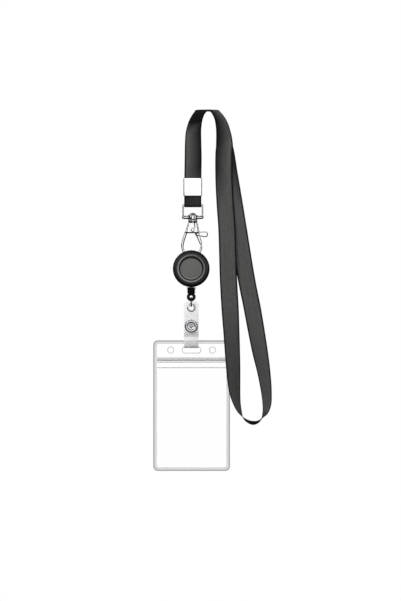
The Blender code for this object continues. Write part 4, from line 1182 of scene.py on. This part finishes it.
# A strip's section is a flat superellipse; it follows the clip's side view and keeps its width along X. Both
# ends narrow by a parabola over one and a half millimetres, and a gaussian crease stiffens the outer leg.
def makeBeltClip():
    mid = clip["fold"] + clip["thickness"] / 2
    foldZ = float(clipHigh[2]) - mid - clip["thickness"] / 2
    a = np.linspace(0, math.pi, 25)
    fold = np.stack([-mid * np.cos(a), foldZ + mid * np.sin(a)], axis=1)
    riveted = np.stack([np.full(14, -mid), np.linspace(reelZ - 5.0, foldZ - 0.6, 14)], axis=1)
    outer = smoothCurve([(mid, foldZ)] + [(y, foldZ - drop) for y, drop in clip["outerLeg"]], 8)
    path = atX(reelX, np.vstack([riveted, fold, outer[1:]]))
    run = runAlong(path)
    ends = np.minimum(run, run[-1] - run)
    narrow = 1 - 0.35 * (1 - np.clip(ends / 1.5, 0, 1)) ** 2
    ring = roundSection(1.0, 1.0, 5.0, 40)
    sizes = np.stack([clip["width"] * narrow, np.full(len(run), clip["thickness"])], axis=1)
    section = ring[None] * sizes[:, None]
    onLeg = np.clip((run - run[-1] * 0.52) / 4, 0, 1) * np.clip((run[-1] * 0.93 - run) / 3, 0, 1)
    section[..., 1] -= clip["crease"] * np.exp(-(section[..., 0] / clip["creaseWidth"]) ** 2) * onLeg[:, None]
    strip = gridObject("beltClip", sweptPoints(path, section, (1, 0, 0)), wrapColumns=True, capEnds=True)
    return cutWith(solidTidy(strip), [pin("bore", (reelX, 0, reelZ), clip["bore"], -mid - 1, -mid + 1)])


beltClip = makeBeltClip()
finishMesh(beltClip, look["plate"], "reel", sharpAngle=50)
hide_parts("belt_clip")


clipRivetSize = {"head": 2.2, "rise": 0.7, "shank": 1.0}


# A quarter-ellipse head and a straight shank, turned.
def makeClipRivet():
    low, high = boxMm("clip_rivet")
    under, shank = high[1] - clipRivetSize["rise"], clipRivetSize["shank"]
    a = np.linspace(math.pi / 2, 0, 10)
    dome = np.stack([clipRivetSize["head"] * np.cos(a), under + clipRivetSize["rise"] * np.sin(a)], axis=1)
    dome[0, 0] = 0
    stem = [(shank, under), (shank, low[1]), (0, low[1])]
    return turnedObject("clipRivet", np.vstack([dome, stem]), (reelX, 0, reelZ), "Y", 48)


clipRivet = makeClipRivet()
finishMesh(clipRivet, look["plate"], "reel", merge=True)
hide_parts("clip_rivet")

# Hidden pieces keep the frame's own meshes and only get their materials.
hidden = {"gate_spring": "spring", "power_spring": "spring", "cord_spool": "spool", "wound_cord": "cord"}
for name, key in hidden.items():
    nodes[name].data.materials.clear()
    nodes[name].data.materials.append(look[key])
print("reel made")

# The pull cord, between the reel's outlet and the stopper.
pull = {"radius": 0.4}
cordLow, cordHigh = boxMm("pull_cord")


# The cord is a round tube straight down from inside the outlet.
def makePullCord():
    z = np.linspace(float(cordHigh[2]), float(cordLow[2]) - 0.25, 60)
    path = atX(reelX, np.stack([np.full(60, cordY), z], axis=1))
    points = sweptPoints(path, roundSection(2.0, 2.0, 2, 16) * pull["radius"], (0, 1, 0))
    return gridObject("pullCord", points, wrapColumns=True, capEnds=True)


pullCord = solidTidy(makePullCord())
pullCord.data.shade_smooth()
pullCord.data.materials.append(look["cord"])
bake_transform(pullCord)
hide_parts("pull_cord")

# The cord's stopper, a ribbed neck over a flat ring.
stopper = {
    "neck": 3.55,
    "taper": 0.2,
    "rib": 0.45,
    "ribs": 3,
    "ribbedHeight": 3.8,
    "ringRadius": 3.7,
    "brim": 0.2,
    "hole": 1.2,
    "ringDepth": 1.6,
}
stopperLow, stopperHigh = boxMm("cord_stopper")
ringZ = float(stopperLow[2]) + stopper["ringRadius"]


# The neck is turned from a wavy profile: a cosine between the rib and groove radii, on a slow taper.
def makeStopper():
    top = float(stopperHigh[2])
    down = np.linspace(0, 1, 60)
    waves = stopper["rib"] * np.cos(down * stopper["ribs"] * 2 * math.pi)
    radius = stopper["neck"] - stopper["taper"] * down + waves
    neck = np.stack([radius, top - 0.7 - stopper["ribbedHeight"] * down], axis=1)
    lower = smoothCurve([neck[-1], (3.2, top - 5.0), (2.6, top - 5.9)], 6)[1:]
    profile = np.vstack([[(0, top), (3.7, top), (3.95, top - 0.2)], neck, lower, [(0, top - 6.4)]])
    neckObject = solidTidy(turnedObject("neck", profile, (reelX, cordY, 0), "Z", 72))
    ro, ri, half = stopper["ringRadius"] + stopper["brim"], stopper["hole"], stopper["ringDepth"] / 2
    ring = softened([(ri, -half), (ro, -half), (ro, half), (ri, half)], 0.4, 6, closed=True)
    ringObject = solidTidy(turnedObject("ring", ring, (reelX, cordY, ringZ), "Y", 72, closed=True))
    return joined("cordStopper", [neckObject, ringObject])


cordStopper = makeStopper()
finishMesh(cordStopper, look["rubber"], "cord_end", sharpAngle=50)
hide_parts("cord_stopper")

# The string loop through the stopper's ring and the strap's eyelet.
loop = {"radius": 0.56, "inset": 0.42, "corner": 1.5, "turnsPerMm": 0.55, "groove": 0.16}
loopLow, loopHigh = boxMm("string_loop")


# The loop is a round-cornered rectangle in the side plane. Its section is a two-strand twist: the radius
# falls off from the strands as one minus the size of a cosine that turns along the string.
def makeStringLoop():
    y0, y1 = loopLow[1] + loop["inset"], loopHigh[1] - loop["inset"]
    z0, z1 = loopLow[2] + loop["inset"], loopHigh[2] - loop["inset"]
    line = softened([(y0, z0), (y1, z0), (y1, z1), (y0, z1)], loop["corner"], 14, closed=True)
    path = atX((loopLow[0] + loopHigh[0]) / 2, cutEvenly(line, 0.12))
    turns = round(runAlong(np.vstack([path, path[:1]]))[-1] * loop["turnsPerMm"])
    phase = np.linspace(0, 2 * math.pi * turns, len(path), endpoint=False)[:, None]
    a = np.linspace(0, 2 * math.pi, 16, endpoint=False)[None]
    radius = loop["radius"] * (1 - loop["groove"] * (1 - np.abs(np.cos(a - phase))))
    section = np.stack([radius * np.cos(a), radius * np.sin(a)], axis=-1)
    points = sweptPoints(path, section, (1, 0, 0), cyclic=True)
    return gridObject("stringLoop", points, wrapRows=True, wrapColumns=True)


stringLoop = makeStringLoop()
finishMesh(stringLoop, look["cord"], "string", merge=True)
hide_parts("string_loop")

# The clear snap strap.
strap = {
    "width": 12.7,
    "thickness": 0.6,
    "spread": 1.9,
    "fold": 3.2,
    "corner": 2.8,
    "eyeletHole": 2.3,
    "snapHole": 1.7,
}
eyeletZ = float(middle("strap_eyelet")[2])
snapZ = float(middle("snap_cap")[2])
strapLow, strapHigh = boxMm("badge_strap")


# The strap's side view: down the long back leg, round the fold in the pouch's slot, up the short front leg.
def strapRoute():
    foldZ = float(strapLow[2]) + strap["thickness"] / 2 + strap["fold"]
    top = float(strapHigh[2])
    s, f = strap["spread"], strap["fold"]
    a = np.linspace(0, math.pi, 33)
    fold = np.stack([f * np.cos(a), foldZ - f * np.sin(a)], axis=1)
    backLeg = smoothCurve([(0, top), (0, top - 2.6), (0, eyeletZ - 2.0), (0.25, eyeletZ - 4.8),
                           (s - 0.4, snapZ + 6.2), (s, snapZ), (s, snapZ - 6.2), (f, foldZ + 2.4),
                           (f, foldZ)], 10)
    frontLeg = smoothCurve([(-f, foldZ), (-f, foldZ + 2.4), (-s, snapZ - 6.2), (-s, snapZ),
                            (-s, snapZ + 7.2)], 10)
    return np.vstack([backLeg[:-1], fold, frontLeg[1:]])


# The strip is a sweep of a flat superellipse; both ends are narrowed by a quarter circle at their corners.
def makeBadgeStrap():
    path = atX(reelX, strapRoute() + [cordY, 0])
    run = runAlong(path)
    corner = strap["corner"]
    keepOff = np.clip(corner - np.minimum(run, run[-1] - run), 0, corner)
    inset = corner - np.sqrt(corner**2 - keepOff**2)
    sizes = np.stack([strap["width"] - 2 * inset, np.full(len(run), strap["thickness"])], axis=1)
    section = roundSection(1.0, 1.0, 7.0, 44)[None] * sizes[:, None]
    strip = gridObject("badgeStrap", sweptPoints(path, section, (1, 0, 0)), wrapColumns=True, capEnds=True)
    holes = [pin("eyeletHole", (reelX, cordY, eyeletZ), strap["eyeletHole"], -1, 1)]
    holes += [pin("snapHole", (reelX, cordY + hand * strap["spread"], snapZ), strap["snapHole"], -1, 1)
              for hand in (-1, 1)]
    return cutWith(solidTidy(strip), holes)


badgeStrap = makeBadgeStrap()
finishMesh(badgeStrap, look["vinylStrap"], "strap", sharpAngle=50)
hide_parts("badge_strap")

# The eyelet and the press snap's four pieces. Each is turned about a line through the strap.
eyelet = {"radius": 3.7, "bore": 1.95, "inner": 0.42, "outer": 1.0}
snap = {"radius": 5.7, "leg": 2.5, "edge": 0.2, "play": 0.3, "socketShare": 0.8}
legInside = strap["spread"] - strap["thickness"] / 2 - snap["play"]


# A profile (radius, distance behind the strap's middle) turned at a height on the strap, its corners eased.
def turnedAt(name, profile, height, edge, steps, closed=False, arcSteps=5):
    rounded = softened(profile, edge, arcSteps, closed=closed)
    return turnedObject(name, rounded, (reelX, cordY, height), "Y", steps, closed=closed)


# The eyelet's flanges are rolled: each is a torus-like bead over a flat brim.
def makeEyelet():
    r, b, i, o = eyelet["radius"], eyelet["bore"], eyelet["inner"], eyelet["outer"]
    profile = [(b, -o + 0.25), (b + 0.35, -o), (b + 0.9, -o), (r - 0.25, -i - 0.32), (r, -i - 0.12),
               (r - 0.1, -i), (b + 0.3, -i), (b + 0.3, i), (r - 0.1, i), (r, i + 0.12), (r - 0.25, i + 0.32),
               (b + 0.9, o),
               (b + 0.35, o), (b, o - 0.25)]
    return turnedAt("strapEyelet", profile, eyeletZ, snap["edge"], 80, closed=True)


# The cap is a raised ring round a sunk middle with a small button, and its shank goes through the front leg.
def makeSnapCap():
    r, face = snap["radius"], -snap["leg"]
    profile = [(0, face - 0.85), (0.55, face - 0.85), (1.2, face - 0.3), (1.65, face - 0.2),
               (2.1, face - 0.5), (2.7, face - 0.5), (3.3, face - 0.75), (3.7, face - 1.18),
               (4.3, face - 1.3), (5.0, face - 1.15), (5.5, face - 0.75), (r, face - 0.3), (r - 0.1, face),
               (1.5, face), (1.5, face + 1.3), (0, face + 1.3)]
    return turnedAt("snapCap", profile, snapZ, snap["edge"], 96)


# The socket is a shallow cup with a thick rim, behind the front leg.
def makeSnapSocket():
    inside, r = -legInside, snap["radius"] * snap["socketShare"]
    profile = [(1.8, inside), (r - 0.2, inside), (r, inside + 0.3), (r, inside + 0.8),
               (r - 0.5, inside + 1.0), (2.5, inside + 1.0), (2.5, inside + 0.3), (1.8, inside + 0.3)]
    return turnedAt("snapSocket", profile, snapZ, 0.12, 72, closed=True, arcSteps=3)


# The stud is a flat disc with a necked knob toward the socket, in front of the back leg.
def makeSnapStud():
    inside, r = legInside, snap["radius"] * snap["socketShare"]
    profile = [(0, inside - 0.9), (1.8, inside - 0.9), (1.8, inside), (r, inside), (r, inside - 0.5),
               (r - 0.4, inside - 0.8), (2.1, inside - 0.8), (2.2, inside - 1.4), (1.9, inside - 1.7),
               (0, inside - 1.7)]
    return turnedAt("snapStud", profile, snapZ, 0.12, 72, arcSteps=3)


# The post's head is a flat ring on the back, and its shank goes through the back leg.
def makeSnapPost():
    leg = snap["leg"]
    profile = [(0, leg + 0.35), (2.0, leg + 0.35), (2.6, leg + 0.7), (3.4, leg + 0.7), (4.2, leg + 0.45),
               (4.56, leg),
               (1.5, leg), (1.5, leg - 1.4), (0, leg - 1.4)]
    return turnedAt("snapPost", profile, snapZ, 0.25, 80)


snapPieces = (
    (makeEyelet, "strap_eyelet", "snap", "bright_plate"),
    (makeSnapCap, "snap_cap", "snap", "bright_plate"),
    (makeSnapSocket, "snap_socket", "cast", "cast_nickel"),
    (makeSnapStud, "snap_stud", "cast", "cast_nickel"),
    (makeSnapPost, "snap_post", "snap", "bright_plate"),
)
for make, node, finish, slotName in snapPieces:
    piece = make()
    finishMesh(piece, look[finish], "strap", merge=True)
    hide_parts(node)
print("cord end, string and snap strap made")

# The zip pouch: a welded rim, a header plate with its slot and punches, two films and the zip.
pouch = {
    "corner": 4.2,
    "weld": 3.1,
    "header": 13.0,
    "headerThickness": 0.7,
    "film": 0.25,
    "bulge": 0.55,
    "slotWidth": 16.2,
    "slotHeight": 5.2,
    "slotBelowTop": 5.9,
    "punchRadius": 2.65,
    "punchSpacing": 36.4,
    "punchBelowTop": 8.55,
    "zipBelowTop": 17.2,
    "pressLineBelowTop": 23.9,
}
sheetLow, sheetHigh = boxMm("pouch_front_sheet")
pouchX = float((sheetLow[0] + sheetHigh[0]) / 2)
pouchTop, pouchBottom = float(sheetHigh[2]), float(sheetLow[2])
pouchWidth = float(sheetHigh[0] - sheetLow[0])


# A round-cornered box about a middle line, from its top down, walked from the top left corner: each corner is
# a quarter circle about its own middle.
def roundedOutline(cx, top, width, height, radius, steps=10):
    left, right = cx - width / 2 + radius, cx + width / 2 - radius
    high, low = top - radius, top - height + radius
    middles = np.array([(left, high), (left, low), (right, low), (right, high)])
    a = np.radians([90, 180, 270, 0])[:, None] + np.radians(90) * np.linspace(0, 1, steps)[None]
    points = middles[:, None] + radius * np.stack([np.cos(a), np.sin(a)], axis=-1)
    return points.reshape(-1, 2)


# The weld runs all round: its section is flat with two pressed beads, gaussians over its width, and it is
# carried between the outer outline and the inner one.
def makeWeldRim():
    width, height = pouch["weld"], pouchTop - pouchBottom
    u = np.linspace(0, 1, 26)
    beads = 0.55 * np.exp(-((u - 0.80) / 0.09) ** 2) + 0.35 * np.exp(-((u - 0.22) / 0.08) ** 2)
    press = pouch["headerThickness"] / 2 * (0.72 + beads)
    press *= np.clip(np.sin(math.pi * u) * 5, 0.15, 1) ** 0.5
    u = np.concatenate([u, u[::-1][1:-1]])
    y = np.concatenate([press, -press[::-1][1:-1]])
    outer = roundedOutline(pouchX, pouchTop, pouchWidth, height, pouch["corner"], 12)
    inner = roundedOutline(pouchX, pouchTop - width, pouchWidth - 2 * width, height - 2 * width,
                           pouch["corner"] - width + 0.6, 12)
    outer, inner = cutEvenly(outer, 3.0, inner)
    flat = outer[:, None] * (1 - u)[None, :, None] + inner[:, None] * u[None, :, None]
    points = np.stack(np.broadcast_arrays(flat[..., 0], cordY + y, flat[..., 1]), axis=-1)
    rim = gridObject("pouchWeld", points, wrapRows=True, wrapColumns=True)
    uvFromArrays(rim, np.stack(np.broadcast_arrays(u * width, flat[..., 1]), axis=-1).reshape(-1, 2))
    return rim


pouchWeld = makeWeldRim()
finishMesh(solidTidy(pouchWeld), look["weld"], "pouch")


# A flat plate with holes: outlines in XY are filled as a curve, whose bevel rounds the plate's edges. Then
# the curve's Y becomes height, and its normal becomes the front.
def plateWithHoles(name, outlines, thickness, bevel):
    data = bpy.data.curves.new(name, "CURVE")
    data.dimensions = "2D"
    data.fill_mode = "BOTH"
    data.extrude = thickness / 2 - bevel
    data.bevel_depth = bevel
    data.bevel_resolution = 2
    data.offset = -bevel
    for outline in outlines:
        spline = data.splines.new("POLY")
        spline.points.add(len(outline) - 1)
        values = np.zeros((len(outline), 4))
        values[:, :2] = outline
        values[:, 3] = 1
        spline.points.foreach_set("co", values.ravel())
        spline.use_cyclic_u = True
    obj = bpy.data.objects.new(name, data)
    bpy.context.scene.collection.objects.link(obj)
    mesh = bpy.data.meshes.new_from_object(obj.evaluated_get(bpy.context.evaluated_depsgraph_get()))
    bpy.data.objects.remove(obj)
    co = np.zeros(len(mesh.vertices) * 3)
    mesh.vertices.foreach_get("co", co)
    co = co.reshape(-1, 3)
    mesh.vertices.foreach_set("co", (np.stack([co[:, 0], cordY - co[:, 2], co[:, 1]], axis=1) * mm).ravel())
    mesh.name = name
    plateObject = bpy.data.objects.new(name, mesh)
    bpy.context.scene.collection.objects.link(plateObject)
    return solidTidy(plateObject)


# Even steps round a circle.
def circle(cx, cz, radius, steps=40):
    a = np.linspace(0, 2 * math.pi, steps, endpoint=False)
    return np.stack([cx + radius * np.cos(a), cz + radius * np.sin(a)], axis=1)


# The strap's slot, grown by a margin all round, and one round punch on each side of it.
def slotOutline(grow, ease):
    wide, high = pouch["slotWidth"] + 2 * grow, pouch["slotHeight"] + 2 * grow
    return roundedOutline(pouchX, pouchTop - pouch["slotBelowTop"] + grow, wide, high, high / 2 - ease, 14)


def punches(grow, steps):
    return [circle(pouchX + hand * pouch["punchSpacing"] / 2, pouchTop - pouch["punchBelowTop"],
                   pouch["punchRadius"] + grow, steps) for hand in (-1, 1)]


# The header is a plate between the rim's top, its sides and the films, with the slot and the punches cut out.
def makeHeader():
    inset = pouch["weld"] - 0.25
    wide, high = pouchWidth - 2 * inset, pouch["header"] - inset
    outline = roundedOutline(pouchX, pouchTop - inset, wide, high, 0.6, 4)
    return plateWithHoles("pouchHeader", [outline, slotOutline(0, 0.02), *punches(0, 40)], 0.5, 0.12)


pouchHeader = makeHeader()
finishMesh(pouchHeader, look["film"], "pouch", sharpAngle=35)


# Each film is a thin shell on a grid: it leaves the weld's plane as the product of two flat-topped sines,
# with a slow ripple, and its thickness is added square to the sheet.
def makeFilm(name, side):
    w = pouchWidth - 2 * pouch["weld"] + 0.8
    top = pouchTop - pouch["header"] + 0.4
    bottom = pouchBottom + pouch["weld"] - 0.4
    u, v = np.meshgrid(np.linspace(0, 1, 60), np.linspace(0, 1, 90))
    x, z = pouchX + (u - 0.5) * w, top + (bottom - top) * v
    swell = np.clip(np.sin(math.pi * u) * 4, 0, 1) ** 0.7 * np.clip(np.sin(math.pi * v) * 6, 0, 1) ** 0.7
    ripple = 0.06 * np.sin(5.0 * u + 2.1 * v + side) + 0.05 * np.sin(9.0 * v - 3.0 * u)
    y = cordY + side * (0.14 + pouch["bulge"] * swell * (1 + ripple))
    face = np.stack([x, y, z], axis=-1)
    other = face + np.array([0, side * pouch["film"], 0])
    points = np.concatenate([face, other])
    n, m = u.shape
    faces = gridFaces(n, m) + gridFaces(n, m, offset=n * m)
    edge = np.concatenate([np.arange(m), np.arange(1, n) * m + m - 1, (n - 1) * m + np.arange(m - 2, -1, -1),
                           np.arange(n - 2, 0, -1) * m])
    following = np.roll(edge, -1)
    faces += np.stack([edge, following, following + n * m, edge + n * m], axis=1).tolist()
    return newObject(name, points, faces)


films = (("pouchFrontFilm", -1, "pouch_front_sheet"), ("pouchBackFilm", 1, "pouch_back_sheet"))
for name, side, node in films:
    film = makeFilm(name, side)
    finishMesh(film, look["film"], "pouch", merge=True)
    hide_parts(node)


# The weld rings round the slot and the punches: an oval section carried along each closed line.
def makeSlotWelds():
    parts = []
    for k, outline in enumerate([slotOutline(0.1, 0.03), *punches(0.05, 48)]):
        points = sweptPoints(atY(cordY, outline), roundSection(0.74, 0.55, 2, 12), (0, 1, 0), cyclic=True)
        parts.append(solidTidy(gridObject(f"weldRing{k}", points, wrapRows=True, wrapColumns=True)))
    return joined("headerWelds", parts)


headerWelds = makeSlotWelds()
finishMesh(headerWelds, look["line"], "pouch", sharpAngle=60)


# The zip's halves in side view, as distance behind the middle and height about the zip's middle: a channel on
# the front film, and a rib with a headed edge on the back one.
zipTracks = {
    "zipChannel": [(-0.6, -2.2), (-0.6, 2.2), (-0.1, 2.2), (0.2, 1.2), (0.2, 0.75), (-0.25, 0.75),
                   (-0.25, -0.75), (0.2, -0.75), (0.2, -1.2), (-0.1, -2.2)],
    "zipRib": [(0.6, -2.2), (0.6, 2.2), (0.48, 2.2), (0.48, 0.3), (0.05, 0.5), (0.05, -0.5), (0.48, -0.3),
               (0.48, -2.2)],
}


# A zip's half is its side view drawn out straight from weld to weld.
def makeZipTrack(name, profile):
    half = pouchWidth / 2 - pouch["weld"] - 0.3
    y, z = (softened(profile, 0.12, 4, closed=True) + [cordY, pouchTop - pouch["zipBelowTop"]]).T
    x = np.linspace(pouchX - half, pouchX + half, 40)[:, None]
    points = np.stack(np.broadcast_arrays(x, y, z), axis=-1)
    return solidTidy(gridObject(name, points, wrapColumns=True, capEnds=True))


for name, node in (("zipChannel", "zip_channel"), ("zipRib", "zip_rib")):
    track = makeZipTrack(name, zipTracks[name])
    finishMesh(track, look["zip"], "pouch", sharpAngle=45)
    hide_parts(node)


# A fine press line below the zip, just over the front film: a flattened rod from weld to weld.
def makePressLine():
    half = pouchWidth / 2 - pouch["weld"]
    x = np.linspace(pouchX - half, pouchX + half, 60)
    path = atY(cordY - 0.5, np.stack([x, np.full(60, pouchTop - pouch["pressLineBelowTop"])], axis=1))
    points = sweptPoints(path, roundSection(0.3, 0.75, 2, 12), (0, 1, 0))
    return solidTidy(gridObject("pressLine", points, wrapColumns=True, capEnds=True))


pressLine = makePressLine()
finishMesh(pressLine, look["line"], "pouch", sharpAngle=60)
print("pouch made")

# The studio. The surround's grey goes by height, from below the object to above it.
studio = {
    "background": 1.0,
    "surround": 0.10,
    "surroundGreys": [(0.0, 0.3), (0.6, 0.6), (1.0, 2.5)],
    "floorZ": -1.02,
    "floorSize": 4.0,
    "floorGlow": 0.45,
}


# Plain white where the camera looks past the object; the light on the object is a grey ramp over the height.
def makeWorld():
    world = bpy.data.worlds.new("whiteStudio")
    world.use_nodes = True
    tree = world.node_tree
    tree.nodes.clear()
    add = tree.nodes.new
    out, mix, path = add("ShaderNodeOutputWorld"), add("ShaderNodeMixShader"), add("ShaderNodeLightPath")
    seen, light = add("ShaderNodeBackground"), add("ShaderNodeBackground")
    place, split, ramp = add("ShaderNodeTexCoord"), add("ShaderNodeSeparateXYZ"), add("ShaderNodeValToRGB")
    seen.inputs["Color"].default_value = (1, 1, 1, 1)
    seen.inputs["Strength"].default_value = studio["background"]
    light.inputs["Strength"].default_value = studio["surround"]
    height = add("ShaderNodeMapRange")
    height.inputs["From Min"].default_value = -1
    tree.links.new(place.outputs["Generated"], split.inputs["Vector"])
    tree.links.new(split.outputs["Z"], height.inputs["Value"])
    tree.links.new(height.outputs["Result"], ramp.inputs["Fac"])
    stops = ramp.color_ramp.elements
    stops.new(0.5)
    for stop, (at, grey) in zip(stops, studio["surroundGreys"]):
        stop.position, stop.color = at, (grey, grey, grey, 1)
    tree.links.new(ramp.outputs["Color"], light.inputs["Color"])
    tree.links.new(path.outputs["Is Camera Ray"], mix.inputs["Fac"])
    tree.links.new(light.outputs["Background"], mix.inputs[1])
    tree.links.new(seen.outputs["Background"], mix.inputs[2])
    tree.links.new(mix.outputs["Shader"], out.inputs["Surface"])
    bpy.context.scene.world = world


# A plain pale square far below, which glows faintly and isn't mirrored in the metal.
def makeFloor():
    half = studio["floorSize"] / 2 / mm
    z = studio["floorZ"] / mm
    floor = newObject("floor", [(-half, -half, z), (half, -half, z), (half, half, z), (-half, half, z)],
                      [(0, 1, 2, 3)])
    n = Nodes("paleFloor")
    n.set(Base_Color=(0.93, 0.93, 0.93, 1), Roughness=0.8, Emission_Color=(1, 1, 1, 1))
    n.set(Emission_Strength=studio["floorGlow"])
    floor.data.materials.append(n.material)
    floor.visible_glossy = False
    floor.visible_diffuse = False


# Gloss tells whether polished faces mirror the box; the front and back panels and two glint strips do.
softBoxes = {
    "front": {"at": (0.0, -2.2, 0.1), "size": (1.5, 1.7), "power": 10, "gloss": True},
    "left": {"at": (-1.2, -0.75, 0.35), "size": (0.4, 0.9), "power": 15, "gloss": False},
    "right": {"at": (1.2, -0.6, 0.1), "size": (0.3, 0.9), "power": 4, "gloss": False},
    "top": {"at": (0.0, -0.35, 1.0), "size": (1.0, 0.5), "power": 10, "gloss": False},
    "back": {"at": (0.0, 2.2, 0.0), "size": (1.2, 1.5), "power": 2.6, "gloss": True},
    "backFill": {"at": (0.5, 1.8, 0.8), "size": (1.0, 1.0), "power": 10, "gloss": False},
    "glintLeft": {"at": (-0.9, -0.8, 0.4), "size": (0.3, 0.9), "power": 2.2, "gloss": True},
    "glintRight": {"at": (1.0, -0.7, 0.1), "size": (0.2, 0.7), "power": 1.3, "gloss": True},
}


# Each box is a rectangle of light turned toward the middle of the object.
def makeLights():
    for name, values in softBoxes.items():
        data = bpy.data.lights.new(name, "AREA")
        data.shape = "RECTANGLE"
        data.size, data.size_y = values["size"]
        data.energy = values["power"]
        lamp = bpy.data.objects.new(name, data)
        bpy.context.scene.collection.objects.link(lamp)
        lamp.visible_camera = False
        lamp.visible_glossy = values["gloss"]
        lamp.location = values["at"]
        aim = Vector((0, 0, -0.15)) - Vector(values["at"])
        lamp.rotation_euler = aim.to_track_quat("-Z", "Y").to_euler()


# The camera looks level along +Y. Its lens is the sensor times the distance over the height it sees, which is
# the image's 601 rows at this many mm a row in the object's plane.
view = {"distance": 1.15, "rows": 601, "mmPerRow": 0.877, "x": -7.02, "z": -166.1, "sensor": 36.0}


def makeCamera():
    data = bpy.data.cameras.new("front")
    height = view["rows"] * view["mmPerRow"] * mm
    data.sensor_fit = "VERTICAL"
    data.sensor_height = view["sensor"]
    data.lens = view["sensor"] * view["distance"] / height
    data.clip_start = 0.01
    camera = bpy.data.objects.new("front", data)
    bpy.context.scene.collection.objects.link(camera)
    camera.location = (view["x"] * mm, -view["distance"], view["z"] * mm)
    camera.rotation_euler = (math.pi / 2, 0, 0)
    bpy.context.scene.camera = camera


makeWorld()
makeFloor()
makeLights()
makeCamera()
bpy.context.scene.view_settings.view_transform = "Standard"
bpy.context.scene.view_settings.look = "None"
print("studio made")
